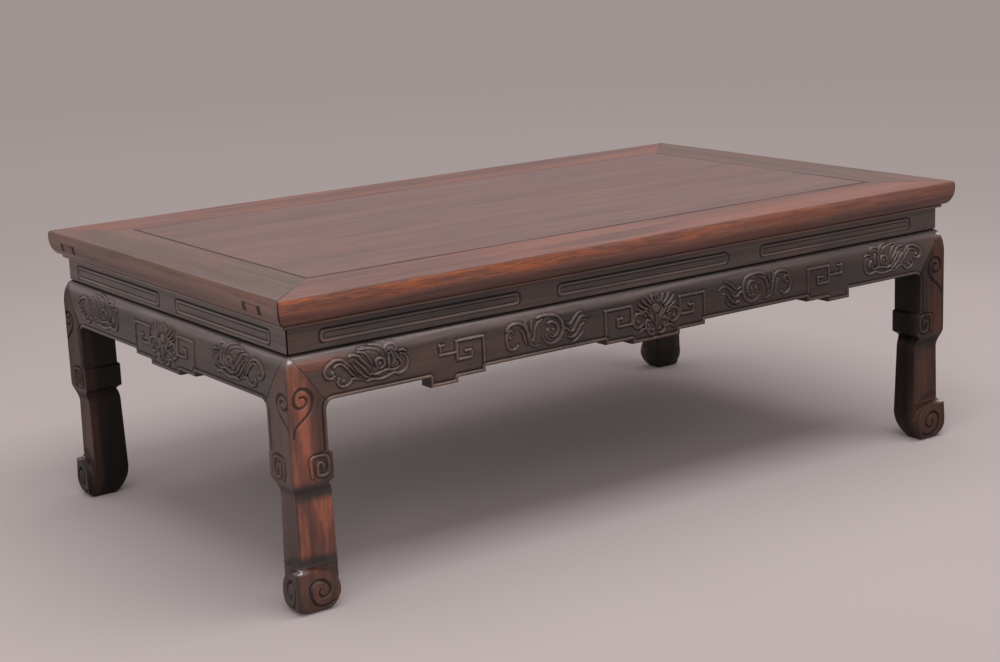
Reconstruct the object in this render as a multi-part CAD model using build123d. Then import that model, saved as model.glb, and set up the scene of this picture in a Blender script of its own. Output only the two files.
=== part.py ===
"""A low waisted kang table in hardwood, built from mortised and mitred members.

The frame has its origin on the floor under the middle of the table, +X along the length, +Y from
front to back and +Z up. Millimetres.

Most members are drawn as a section in (inset, height): inset is measured inwards from the outer edge
of the table top, so one section serves the long sides and the short sides.
"""

from build123d import *
import os

# Overall size
length = 890.0
width = 521.0
height = 305.0

# Top frame: four mitred rails round a floating panel
rail_width = 72.0
edge_band = 7.0            # upright band under the top arris
arris_radius = 0.8
moulding_reach = 9.8       # how far the edge sweeps in
moulding_height = 19.5     # over what height it sweeps in
bead_step = 0.7            # the bead under the moulding starts this much further in
bead_height = 4.0
bead_radius = 2.0

# Floating panel
panel_gap = 0.6            # visible shrinkage joint between panel and rails
tongue_thickness = 6.0
tongue_top_depth = 7.0     # tongue's upper face below the table top
tongue_length = 6.0
groove_play = 0.5          # room for the panel to swell

# Through tenons of the long rails and the wedges that lock them
tenon_inset = 38.0
tenon_width = 27.0
tenon_thickness = 9.0
tenon_below_top = 10.0
wedge_width = 4.5
wedge_tip_width = 1.2
wedge_length = 22.0

# Dovetailed braces under the panel
brace_count = 3
brace_spacing = 220.0
brace_width = 28.0
brace_dovetail_height = 3.5
brace_dovetail_neck = 18.0
brace_dovetail_top = 22.0
brace_tenon_width = 18.0
brace_tenon_thickness = 7.0
brace_tenon_length = 12.0

# Waist
waist_height = 23.5
waist_inset = 15.2
waist_thickness = 8.8
waist_tongue = 3.5         # how far its tongues enter the rails and the aprons
waist_tongue_thickness = 4.0
cartouche_height = 13.2
long_cartouche_length = 229.0
long_cartouche_spacing = 276.0
long_cartouche_count = 3
long_cartouche_shift = -6.0    # the long row sits this far off the middle
short_cartouche_length = 197.0
short_cartouche_spacing = 235.5
short_cartouche_count = 2
cartouche_groove_width = 1.6
cartouche_groove_depth = 1.2

# Aprons
apron_height = 48.5
apron_thickness = 16.1
face_inset = 7.9           # upright outer face of aprons and upper legs
shoulder_height = 26.0     # height of the rounded shoulder under the waist
shoulder_top_lead = (0.52, 0.12)   # its upper handle: shares of its reach and of its height, from the top
shoulder_low_lead = (0.9, 0.42)    # its lower handle, the same way
deep_drop = 10.0           # lowest tabs of the lower edge
shallow_drop = 5.0         # steps beside them
centre_tab_half = 32.0
centre_step_half = 67.0
side_step_start = 216.5    # measured from the middle of the long side
side_tab_start = 249.0
side_tab_end = 281.0
apron_corner_radius = 9.0

# Legs
leg_inner_inset = 46.6     # inner faces of the upper leg
block_inset = 51.5         # inner faces of the raised block
block_top = 154.0
block_bottom = 128.5
block_corner_radius = 2.5
notch_height = 124.0       # bottom of the V notch under the block
upper_face_end = 131.0     # the outer faces turn inwards here
lower_face_start = 110.0   # and are upright again here
lower_face_inset = 13.4
face_turn_lead = 0.5       # how far the turn has moved in at its upper handle
face_turn_trail = 0.6      # and has still to go at its lower one
shaft_swell = 0.8          # the lower leg grows this much towards the foot
notch_lead = 1.2           # fullness of the inner curve under the notch
lower_inner_inset = 51.7
lower_inner_top = 107.0
foot_ledge_height = 46.0
foot_ledge_fall = 2.0
foot_ledge_inset = 7.2
foot_bulge_height = 22.0
foot_bulge_inset = 5.0
foot_bulge_roundness = 0.55    # share of the bulge's height over which it stays upright
sole_lead = 2.0            # how far the bulge has moved in where it meets the floor's level
foot_inner_inset = 52.8
foot_inner_height = 33.0
foot_inner_radius = 50.0
sole_outer_inset = 15.0

# The same inner faces on the short sides, where the legs are slimmer
side_block_inset = 48.5
side_notch_inset = 43.4
side_lower_inner_inset = 41.7
side_foot_inner_inset = 44.2

# Tenons on top of the legs and the dovetail keys that carry the aprons
leg_tenon_offset = 1.5     # from the outer faces of the leg's post
leg_tenon_thickness = 7.0
leg_tenon_width = 10.0
leg_tenon_height = 9.0
key_start = 34.0           # inset of the key's neck
key_neck = 8.0
key_flare = 1.5
key_depth = 5.0
key_below_shoulder = 8.0

# Heights and insets that follow
moulding_foot = height - edge_band - moulding_height
frame_under = moulding_foot - bead_height
apron_top = frame_under - waist_height
apron_bottom = apron_top - apron_height
waist_back = waist_inset + waist_thickness
post_inset = face_inset + apron_thickness
panel_under = height - tongue_top_depth - tongue_thickness
tenon_top = height - tenon_below_top
tongue_start = waist_inset + (waist_thickness - waist_tongue_thickness) / 2


# Drawing helpers ------------------------------------------------------------------------------------

def polygon(points):
    """A flat face through the points, in (inset, height) or in plan."""
    return make_face(Polyline(*points, close=True))


def rectangle(low, high):
    """A flat face between two corners."""
    return polygon([low, (high[0], low[1]), high, (low[0], high[1])])


def along_front(section, start=-length / 2, end=length / 2):
    """Extrude an (inset, height) section along the front side, from x = start to x = end."""
    plane = Plane(origin=(start, -width / 2, 0), x_dir=(0, 1, 0), z_dir=(1, 0, 0))
    return extrude(plane * section, end - start)


def along_left(section, start=-width / 2, end=width / 2):
    """Extrude an (inset, height) section along the left side, from y = start to y = end."""
    plane = Plane(origin=(-length / 2, end, 0), x_dir=(1, 0, 0), z_dir=(0, -1, 0))
    return extrude(plane * section, end - start)


def through_front(outline, first_inset, last_inset):
    """Extrude an (x, height) outline inwards from the front side."""
    plane = Plane(origin=(0, -width / 2 + last_inset, 0), x_dir=(1, 0, 0), z_dir=(0, -1, 0))
    return extrude(plane * outline, last_inset - first_inset)


def through_left(outline, first_inset, last_inset):
    """Extrude a (y, height) outline inwards from the left side."""
    plane = Plane(origin=(-length / 2 + first_inset, 0, 0), x_dir=(0, 1, 0), z_dir=(1, 0, 0))
    return extrude(plane * outline, last_inset - first_inset)


def block(low, high):
    """A box between two corners."""
    size = [b - a for a, b in zip(low, high)]
    middle = [(a + b) / 2 for a, b in zip(low, high)]
    return Pos(*middle) * Box(*size)


def front_left(low, high):
    """A box near the front left corner, its corners given as (inset in x, inset in y, height)."""
    shift = (-length / 2, -width / 2, 0)
    return block([a + s for a, s in zip(low, shift)], [b + s for b, s in zip(high, shift)])


def to_back(part):
    """The same piece on the other long side."""
    return mirror(part, Plane.XZ)


def to_right(part):
    """The same piece on the other short side."""
    return mirror(part, Plane.YZ)


def long_side_zone():
    """Everything that belongs to the front side when the corners are mitred."""
    half_x = length / 2
    half_y = width / 2
    inner = rail_width
    plan = polygon([(-half_x, -half_y), (half_x, -half_y),
                    (half_x - inner, -half_y + inner), (-half_x + inner, -half_y + inner)])
    return extrude(plan, height)


def short_side_zone():
    """Everything that belongs to the left side when the corners are mitred."""
    half_x = length / 2
    half_y = width / 2
    inner = rail_width
    plan = polygon([(-half_x, -half_y), (-half_x + inner, -half_y + inner),
                    (-half_x + inner, half_y - inner), (-half_x, half_y)])
    return extrude(plan, height)


# Sections -------------------------------------------------------------------------------------------

def rail_section():
    """Moulded edge outside, groove for the panel inside, groove for the waist underneath."""
    band_foot = height - edge_band
    bead_inset = moulding_reach + bead_step
    groove_back = rail_width - tongue_length - groove_play
    groove_top = panel_under + tongue_thickness
    waist_groove_top = frame_under + waist_tongue
    edges = [
        JernArc((0, height - arris_radius), (0, 1), arris_radius, -90),
        Polyline(
            (arris_radius, height), (rail_width, height), (rail_width, groove_top),
            (groove_back, groove_top), (groove_back, panel_under), (rail_width, panel_under),
            (rail_width, frame_under), (tongue_start + waist_tongue_thickness, frame_under),
            (tongue_start + waist_tongue_thickness, waist_groove_top),
            (tongue_start, waist_groove_top), (tongue_start, frame_under),
            (bead_inset + bead_radius, frame_under)),
        JernArc((bead_inset + bead_radius, frame_under), (-1, 0), bead_radius, -90),
        Polyline((bead_inset, frame_under + bead_radius), (bead_inset, moulding_foot),
                 (moulding_reach, moulding_foot)),
        EllipticalCenterArc((moulding_reach, band_foot), moulding_reach, moulding_height, 180, arc_size=90),
        Line((0, band_foot), (0, height - arris_radius)),
    ]
    return make_face(edges)


def shoulder_curve():
    """The rounded shoulder from the foot of the waist to the upright face."""
    reach = waist_inset - face_inset
    leads = (shoulder_top_lead, shoulder_low_lead)
    handles = [(waist_inset - across * reach, apron_top - down * shoulder_height) for across, down in leads]
    return Bezier((waist_inset, apron_top), *handles, (face_inset, apron_top - shoulder_height))


def apron_section():
    """An apron cut across: shoulder outside, flat back, groove for the waist on top."""
    foot = apron_bottom - deep_drop
    groove_foot = apron_top - waist_tongue
    edges = [
        shoulder_curve(),
        Polyline(
            (face_inset, apron_top - shoulder_height), (face_inset, foot), (post_inset, foot),
            (post_inset, apron_top), (tongue_start + waist_tongue_thickness, apron_top),
            (tongue_start + waist_tongue_thickness, groove_foot), (tongue_start, groove_foot),
            (tongue_start, apron_top), (waist_inset, apron_top)),
    ]
    return make_face(edges)


def leg_section(block, notch, lower, foot):
    """A leg seen from a side, up to its shoulder, by the insets of its inner face on that side."""
    face_end = (face_inset, upper_face_end)
    lower_start = (lower_face_inset, lower_face_start)
    turn = upper_face_end - lower_face_start
    ledge_back = (lower_face_inset - shaft_swell, foot_ledge_height)
    ledge_lip = (foot_ledge_inset, foot_ledge_height - foot_ledge_fall)
    bulge = (foot_bulge_inset, foot_bulge_height)
    sole_inner = foot - foot_inner_radius + (foot_inner_radius ** 2 - foot_inner_height ** 2) ** 0.5
    inner_turn = notch_height - lower_inner_top
    r = block_corner_radius
    edges = [
        shoulder_curve(),
        Line((face_inset, apron_top - shoulder_height), face_end),
        Bezier(face_end, (face_inset + face_turn_lead, upper_face_end - turn / 3),
               (lower_face_inset - face_turn_trail, lower_face_start + turn / 2), lower_start),
        Polyline(lower_start, ledge_back, ledge_lip, bulge),
        Bezier(bulge, (foot_bulge_inset, foot_bulge_height * (1 - foot_bulge_roundness)),
               (foot_bulge_inset + sole_lead, 0), (sole_outer_inset, 0)),
        Line((sole_outer_inset, 0), (sole_inner, 0)),
        RadiusArc((sole_inner, 0), (foot, foot_inner_height), -foot_inner_radius),
        Line((foot, foot_inner_height), (lower, lower_inner_top)),
        Bezier((lower, lower_inner_top), (lower, lower_inner_top + inner_turn / 2),
               (lower - notch_lead, notch_height - inner_turn / 4), (notch, notch_height)),
        Polyline((notch, notch_height), (block, block_bottom), (block, block_top - r)),
        JernArc((block, block_top - r), (0, 1), r, 90),
        Polyline((block - r, block_top), (leg_inner_inset, block_top),
                 (leg_inner_inset, apron_top), (waist_inset, apron_top)),
    ]
    return make_face(edges)


# Top ------------------------------------------------------------------------------------------------

def tenon_zone():
    """Room of one through tenon in the front left corner."""
    return front_left((0, tenon_inset, tenon_top - tenon_thickness),
                      (rail_width, tenon_inset + tenon_width, tenon_top))


def wedge_zone(side):
    """Room of the wedge on the outer (-1) or the inner (+1) side of that tenon."""
    root = tenon_inset if side < 0 else tenon_inset + tenon_width
    plan = polygon([(0, root), (wedge_length, root), (wedge_length, root + side * wedge_tip_width),
                    (0, root + side * wedge_width)])
    place = Pos(-length / 2, -width / 2, tenon_top - tenon_thickness)
    return place * extrude(plan, tenon_thickness)


def leg_tenon_zones():
    """The two tenons of the front left leg: the first enters the front rail, the second the left one."""
    near = post_inset + leg_tenon_offset
    far = leg_inner_inset - leg_tenon_offset
    low = frame_under
    high = frame_under + leg_tenon_height
    into_front = front_left((far - leg_tenon_width, near, low), (far, near + leg_tenon_thickness, high))
    into_left = front_left((near, far - leg_tenon_width, low), (near + leg_tenon_thickness, far, high))
    return into_front, into_left


def brace_places():
    """Middle of each brace along the length."""
    return [(i - (brace_count - 1) / 2) * brace_spacing for i in range(brace_count)]


def brace_dovetail(x, half_length):
    """The dovetailed ridge of a brace, or the slot for it in the panel."""
    neck = brace_dovetail_neck / 2
    top = brace_dovetail_top / 2
    section = polygon([(x - neck, panel_under), (x + neck, panel_under),
                       (x + top, panel_under + brace_dovetail_height),
                       (x - top, panel_under + brace_dovetail_height)])
    plane = Plane(origin=(0, half_length, 0), x_dir=(1, 0, 0), z_dir=(0, -1, 0))
    return extrude(plane * section, 2 * half_length)


def brace_tenon(x):
    """The tenon of a brace in the front rail."""
    edge = -width / 2 + rail_width
    middle = (panel_under + frame_under) / 2
    return block((x - brace_tenon_width / 2, edge - brace_tenon_length, middle - brace_tenon_thickness / 2),
                 (x + brace_tenon_width / 2, edge, middle + brace_tenon_thickness / 2))


def make_brace(x):
    """One brace across the underside of the panel."""
    half = width / 2 - rail_width
    bar = block((x - brace_width / 2, -half, frame_under), (x + brace_width / 2, half, panel_under))
    return bar + brace_dovetail(x, half) + brace_tenon(x) + to_back(brace_tenon(x))


def make_panel():
    """The panel, its face flush with the rails and its tongue in their grooves."""
    half_x = length / 2 - rail_width
    half_y = width / 2 - rail_width
    tongue_top = panel_under + tongue_thickness
    face = block((-half_x + panel_gap, -half_y + panel_gap, tongue_top),
                 (half_x - panel_gap, half_y - panel_gap, height))
    tongue = block((-half_x - tongue_length, -half_y - tongue_length, panel_under),
                   (half_x + tongue_length, half_y + tongue_length, tongue_top))
    panel = face + tongue
    for x in brace_places():
        panel -= brace_dovetail(x, half_y + tongue_length)
    return panel


def make_short_rail():
    """The left rail, mortised for the long rails' tenons, their wedges and the legs."""
    rail = along_left(rail_section()) & short_side_zone()
    pockets = [tenon_zone(), wedge_zone(-1), wedge_zone(1), leg_tenon_zones()[1]]
    for pocket in pockets:
        rail -= pocket
        rail -= to_back(pocket)
    return rail


def make_long_rail():
    """The front rail, with a through tenon at each end, mortised for the legs and the braces."""
    rail = along_front(rail_section()) & long_side_zone()
    left_end = along_left(rail_section()) & short_side_zone()
    tenon = left_end & tenon_zone()
    rail = rail + tenon + to_right(tenon)
    leg_pocket = leg_tenon_zones()[0]
    rail = rail - leg_pocket - to_right(leg_pocket)
    for x in brace_places():
        rail -= brace_tenon(x)
    return rail


def make_wedges():
    """The wedges beside the through tenons. The outer one of the back left corner has dropped out."""
    left_end = along_left(rail_section()) & short_side_zone()
    outer = left_end & wedge_zone(-1)
    inner = left_end & wedge_zone(1)
    wedges = [outer, inner, to_back(inner)]
    wedges += [to_right(outer), to_right(inner), to_right(to_back(outer)), to_right(to_back(inner))]
    return Compound(children=[wedge.solid() for wedge in wedges])


# Waist ----------------------------------------------------------------------------------------------

def waist_section():
    """A waist board cut across, with a tongue on both edges."""
    board = rectangle((waist_inset, apron_top), (waist_back, frame_under))
    tongue = rectangle((tongue_start, apron_top - waist_tongue),
                       (tongue_start + waist_tongue_thickness, frame_under + waist_tongue))
    return board + tongue


def cartouche_grooves(long_size, spacing, count, shift=0.0):
    """Grooves that outline a row of round-ended cartouches, drawn as (along, height)."""
    middle = (apron_top + frame_under) / 2
    grooves = []
    for i in range(count):
        place = Pos(shift + (i - (count - 1) / 2) * spacing, middle)
        inner_length = long_size - 2 * cartouche_groove_width
        inner_height = cartouche_height - 2 * cartouche_groove_width
        ring = SlotOverall(long_size, cartouche_height) - SlotOverall(inner_length, inner_height)
        grooves.append(place * ring)
    return grooves


def make_long_waist():
    """The front waist board."""
    board = along_front(waist_section()) & long_side_zone()
    row = cartouche_grooves(long_cartouche_length, long_cartouche_spacing, long_cartouche_count,
                            long_cartouche_shift)
    for groove in row:
        board -= through_front(groove, waist_inset, waist_inset + cartouche_groove_depth)
    return board


def make_short_waist():
    """The left waist board."""
    board = along_left(waist_section()) & short_side_zone()
    for groove in cartouche_grooves(short_cartouche_length, short_cartouche_spacing, short_cartouche_count):
        board -= through_left(groove, waist_inset, waist_inset + cartouche_groove_depth)
    return board


# Aprons ---------------------------------------------------------------------------------------------

def lower_edge(steps, half):
    """Corners of a lower edge, from its middle to the leg: each step is (distance, drop after it)."""
    drop = deep_drop
    points = [(0, apron_bottom - drop)]
    for distance, next_drop in steps:
        points.append((distance, apron_bottom - drop))
        points.append((distance, apron_bottom - next_drop))
        drop = next_drop
    points.append((half - leg_inner_inset - apron_corner_radius, apron_bottom))
    return points


def apron_outline(steps, half):
    """Face of an apron: stepped lower edge, rounded into the legs, ends cut on the slant."""
    inner = half - leg_inner_inset
    r = apron_corner_radius
    corner = (inner, apron_bottom - r)
    slant = apron_height / (leg_inner_inset - waist_inset)
    low = apron_bottom - deep_drop
    right_half = make_face([
        Polyline(*lower_edge(steps, half)),
        JernArc((inner - r, apron_bottom), (1, 0), r, -90),
        Polyline(corner, (half, apron_bottom - r), (half, apron_top), (0, apron_top),
                 (0, apron_bottom - deep_drop)),
    ])
    below_slant = polygon([(half, apron_top), (half - waist_inset, apron_top),
                           (half - waist_inset - (apron_top - low) / slant, low), (half, low)])
    right_half -= below_slant
    return right_half + mirror(right_half, Plane.YZ)


def key_slots(half):
    """Dovetail slots in the back of an apron's right end, as a plan in (along, inset)."""
    near = half - key_start - key_neck
    far = half - key_start
    return polygon([(near, post_inset), (far, post_inset),
                    (far + key_flare, post_inset - key_depth), (near - key_flare, post_inset - key_depth)])


def apron_body(outline, section, plan, zone):
    """An apron from its face outline, its section and the plan of its dovetail slots."""
    slot = extrude(Pos(0, 0, apron_bottom - deep_drop) * plan,
                   apron_height + deep_drop - key_below_shoulder)
    return (outline & section & zone) - slot


def make_long_apron():
    """The front apron."""
    half = length / 2
    steps = [(centre_tab_half, shallow_drop), (centre_step_half, 0),
             (side_step_start, shallow_drop), (side_tab_start, deep_drop), (side_tab_end, 0)]
    outline = through_front(apron_outline(steps, half), 0, post_inset)
    right_slot = Pos(0, -width / 2) * key_slots(half)
    slots = right_slot + mirror(right_slot, Plane.YZ)
    return apron_body(outline, along_front(apron_section()), slots, long_side_zone())


def make_short_apron():
    """The left apron."""
    half = width / 2
    steps = [(centre_tab_half, shallow_drop), (centre_step_half, 0)]
    outline = through_left(apron_outline(steps, half), 0, post_inset)
    back_slot = Pos(-length / 2, 0) * mirror(Rot(0, 0, -90) * key_slots(half), Plane.XZ)
    slots = back_slot + mirror(back_slot, Plane.XZ)
    return apron_body(outline, along_left(apron_section()), slots, short_side_zone())


# Legs -----------------------------------------------------------------------------------------------

def corner_web(half):
    """The leg's share of the rounded corner under an apron, drawn as (along, height)."""
    inner = -half + leg_inner_inset
    r = apron_corner_radius
    return make_face([
        Polyline((inner + r, apron_bottom), (inner, apron_bottom), (inner, apron_bottom - r)),
        JernArc((inner, apron_bottom - r), (0, 1), r, -90),
    ])


def make_leg(front_apron, left_apron, front_waist, left_waist):
    """The front left leg, its mitred shoulders cut to the two aprons that meet on it."""
    on_front = leg_section(side_block_inset, side_notch_inset, side_lower_inner_inset, side_foot_inner_inset)
    on_left = leg_section(block_inset, leg_inner_inset, lower_inner_inset, foot_inner_inset)
    blank = along_front(on_front, -length / 2, -length / 2 + block_inset + rail_width)
    blank &= along_left(on_left, -width / 2, -width / 2 + block_inset + rail_width)
    blank += through_front(corner_web(length / 2), face_inset, post_inset)
    blank += through_left(corner_web(width / 2), face_inset, post_inset)
    post = (leg_inner_inset, leg_inner_inset, frame_under)
    blank += front_left((post_inset, post_inset, apron_bottom), post)
    for neighbour in (front_apron, left_apron, front_waist, left_waist):
        blank -= neighbour
    for tenon in leg_tenon_zones():
        blank += tenon
    return blank


# Assembly -------------------------------------------------------------------------------------------

def build():
    """Every piece by name."""
    pieces = {}
    pieces["top_panel"] = make_panel()
    long_rail = make_long_rail()
    short_rail = make_short_rail()
    long_waist = make_long_waist()
    short_waist = make_short_waist()
    long_apron = make_long_apron()
    short_apron = make_short_apron()
    for name, part in (("rail", long_rail), ("waist", long_waist), ("apron", long_apron)):
        pieces[f"{name}_front"] = part
        pieces[f"{name}_back"] = to_back(part)
    for name, part in (("rail", short_rail), ("waist", short_waist), ("apron", short_apron)):
        pieces[f"{name}_left"] = part
        pieces[f"{name}_right"] = to_right(part)
    pieces["tenon_wedges"] = make_wedges()
    for number, x in enumerate(brace_places(), start=1):
        pieces[f"brace_{number}"] = make_brace(x)
    leg = make_leg(long_apron, short_apron, long_waist, short_waist)
    pieces["leg_front_left"] = leg
    pieces["leg_front_right"] = to_right(leg)
    pieces["leg_back_left"] = to_back(leg)
    pieces["leg_back_right"] = to_right(to_back(leg))
    return pieces


os.makedirs("parts", exist_ok=True)
for node, piece in build().items():
    export_step(piece, f"parts/{node}.step")
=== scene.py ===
"""Looks of the kang table: carved aprons and legs, moulded top, waist, patinated hardwood.

Sizes are in millimetres until a mesh is made. Most shapes are drawn beside one side of the table as
(along, inset, z): along runs from the middle of the side, inset runs inwards from the edge of the top.
"""

import math

import bmesh
import bpy
import numpy as np
from mathutils import Matrix, Vector


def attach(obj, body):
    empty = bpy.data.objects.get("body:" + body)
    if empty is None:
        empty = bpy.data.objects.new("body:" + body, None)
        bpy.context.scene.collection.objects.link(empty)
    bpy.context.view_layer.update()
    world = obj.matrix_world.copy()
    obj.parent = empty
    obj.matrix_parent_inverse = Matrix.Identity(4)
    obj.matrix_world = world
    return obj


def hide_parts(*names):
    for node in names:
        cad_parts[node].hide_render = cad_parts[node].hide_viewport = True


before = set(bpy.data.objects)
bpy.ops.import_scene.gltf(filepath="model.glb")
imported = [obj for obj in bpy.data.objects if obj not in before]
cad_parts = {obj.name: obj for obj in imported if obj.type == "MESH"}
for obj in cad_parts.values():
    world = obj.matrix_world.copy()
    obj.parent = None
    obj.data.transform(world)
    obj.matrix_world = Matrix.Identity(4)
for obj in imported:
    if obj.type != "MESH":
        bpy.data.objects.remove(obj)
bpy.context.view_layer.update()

MM = 0.001

# Sizes shared with the construction model. Two lie nearer to the photograph than in the solids: the foot of
# the waist, at 251 mm there, and the legs' inner faces, 46.6 mm from the edge there.
LENGTH = 890.0
WIDTH = 521.0
HEIGHT = 305.0
RAIL_WIDTH = 72.0
EDGE_BAND = 7.0
MOULDING_REACH = 9.8
MOULDING_FOOT = 278.5
BEAD_STEP = 0.7
BEAD_RADIUS = 2.0
FRAME_UNDER = 274.5
PANEL_GAP = 0.6
PANEL_UNDER = 292.0
TONGUE_TOP = 298.0
TONGUE_LENGTH = 6.0
TENON_START = 38.0
TENON_END = 65.0
TENON_LOW = 286.0
TENON_TOP = 295.0
WEDGE_WIDTH = 4.5
WEDGE_TIP_WIDTH = 1.2
WEDGE_LENGTH = 22.0
WAIST_INSET = 15.2
WAIST_BACK = 24.0
APRON_TOP = 248.5
APRON_BOTTOM = 202.5
POST_INSET = 24.0
FACE_INSET = 7.9
SHOULDER_HEIGHT = 23.5
DEEP_DROP = 10.0
SHALLOW_DROP = 5.0
CORNER_RADIUS = 9.0
LEG_INNER = 48.4
BLOCK_TOP = 154.0
BLOCK_BOTTOM = 128.5
BLOCK_RADIUS = 2.5
NOTCH = 124.0
SHAFT_INSET = 12.7
SLANT = (APRON_TOP - APRON_BOTTOM) / (LEG_INNER - WAIST_INSET)

# Inner faces of a leg, measured from the outer edge beside the long sides and beside the short sides. The
# blocks stand a little prouder than in the solids.
LONG_INNER = {"block": 52.0, "notch": 46.6, "lower": 51.7, "foot": 52.8}
SHORT_INNER = {"block": 49.9, "notch": 43.4, "lower": 41.7, "foot": 44.2}

LONG_STEPS = [(32.0, SHALLOW_DROP), (67.0, 0.0), (216.5, SHALLOW_DROP), (249.0, DEEP_DROP), (281.0, 0.0)]
SHORT_STEPS = [(32.0, SHALLOW_DROP), (67.0, 0.0)]
LONG_CARTOUCHES = [(-281.0, 228.0), (-6.5, 228.0), (270.0, 232.0)]      # (middle, length)
SHORT_CARTOUCHES = [(-116.7, 193.0), (120.0, 202.0)]

# Carving and wear
LATTICE = 0.72           # spacing of the carved surfaces' points
BEAD_HALF = 1.7          # half the width of the bead on the lower edges
BEAD_RISE = 0.7
VALLEY_DEPTH = 1.2
STRAND_FULLNESS = 1.15   # how much broader the leafy strands are carved than they are drawn
JOINT = 0.12             # half a hairline joint
MITRE = 0.2              # half the open mitre on the table's top
EDGE_MITRE = 0.5         # and on its moulded edge, where the wood has shrunk more
WAIST_MITRE = 1.2
WELD = 2e-3              # points nearer than this are one point
FAR = 99.0               # a distance beyond every detail
TINY = 1e-6

RAIL_STEP = 4.5          # spacing of a rail's points along its middle
WORN_HOLLOW = 0.14       # how far the top and its edge are worn out of true
WORN_EDGE = 0.1
PLUG_SHORT = 1.0         # how far tenon ends and wedges stop short of their pocket's bottom
TENON_SUNK = 0.05        # how far they lie under the rail's face
WEDGE_SUNK = 0.5
WAIST_END_GAP = 0.4
WAIST_SINK = 2.8         # depth of the dark line between waist and apron
LINE_DEPTH = 1.3         # the groove round a cartouche
LINE_BEAD = 2.1          # its bead, by the distance inside the cartouche's outline, and that bead's rise
LINE_BEAD_RISE = 0.5
INNER_LINE = 4.0         # the finer groove inside that, and its depth
INNER_LINE_DEPTH = 0.8
MITRE_DEPTH = 0.6        # the slanted joint line between apron and leg, and half its width
MITRE_LINE = 0.5

WAVES = (310.0, 170.0, 83.0)    # lengths of a hand-planed surface's unevenness

# ---- Curves

def bezier(a, b, c, d, count=40):
    """Points along a cubic curve."""
    t = np.linspace(0, 1, count)[:, None]
    a, b, c, d = (np.array(p, float) for p in (a, b, c, d))
    return (1 - t) ** 3 * a + 3 * (1 - t) ** 2 * t * b + 3 * (1 - t) * t ** 2 * c + t ** 3 * d


def arc(centre, radius, start, end, count=16):
    """Points on a circle or an ellipse, angles in degrees."""
    t = np.radians(np.linspace(start, end, count))
    across, up = radius if isinstance(radius, tuple) else (radius, radius)
    return np.stack([centre[0] + across * np.cos(t), centre[1] + up * np.sin(t)], 1)


def smooth_path(points):
    """A smooth curve through the points."""
    step = 0.8
    p = np.array(points, float)
    p = np.vstack([2 * p[0] - p[1], p, 2 * p[-1] - p[-2]])
    out = []
    for a, b, c, d in zip(p[:-3], p[1:-2], p[2:-1], p[3:]):
        count = max(2, int(np.linalg.norm(c - b) / step) + 1)
        t = np.linspace(0, 1, count, endpoint=False)[:, None]
        out.append(0.5 * (2 * b + (c - a) * t + (2 * a - 5 * b + 4 * c - d) * t ** 2
                          + (3 * b - a - 3 * c + d) * t ** 3))
    out.append(p[-2][None])
    return np.vstack(out)


def path_distance(u, v, path):
    """Distance from each point to the path, and the share of the path's length at the nearest place."""
    best = np.full(u.shape, 1e9)
    place = np.zeros(u.shape)
    lengths = np.linalg.norm(np.diff(path, axis=0), axis=1)
    total = max(lengths.sum(), 1e-9)
    done = 0.0
    for a, b, size in zip(path[:-1], path[1:], lengths):
        if size < 1e-9:
            continue
        dx, dy = (b - a) / size
        along = np.clip((u - a[0]) * dx + (v - a[1]) * dy, 0, size)
        gap = np.hypot(u - a[0] - along * dx, v - a[1] - along * dy)
        nearer = gap < best
        best = np.where(nearer, gap, best)
        place = np.where(nearer, (done + along) / total, place)
        done += size
    return best, place


def smoothstep(x, low, high):
    """0 below low, 1 above high, smooth between."""
    t = np.clip((x - low) / (high - low), 0, 1)
    return t * t * (3 - 2 * t)


def fade(x, low, high):
    """1 below low, 0 above high, smooth between."""
    return 1 - smoothstep(x, low, high)


def bell(x, width):
    """1 where x is 0, nearly nothing from two widths away."""
    return np.exp(-(x / width) ** 2)


def crown(x, width):
    """1 where x is 0, rounded down to 0 at one width to either side."""
    return np.clip(1 - (x / width) ** 2, 0, 1)


def waviness(u, v, seed):
    """Slow unevenness of a hand-planed surface, from -1 to 1."""
    total = 0.0
    for number, size in enumerate(WAVES):
        turn = seed * 2.4 + number * 1.9
        bend = 1.3 * np.sin(v / size * 5.1 + turn * 1.7)
        total = total + np.sin(u / size * 6.3 + turn + bend) / (number + 1)
    return total / 1.9


# ---- Carving

UNRAISED = -9.0    # height of the strands where there is none


def swelling(half_width, taper, place):
    """Half width at this share of a line's length. taper gives what is left of it at the two ends."""
    ends = taper[0] * (1 - place) + taper[1] * place
    return half_width * (ends + (1 - ends) * np.sin(np.pi * np.clip(place, 0, 1)) ** 0.5)


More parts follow.
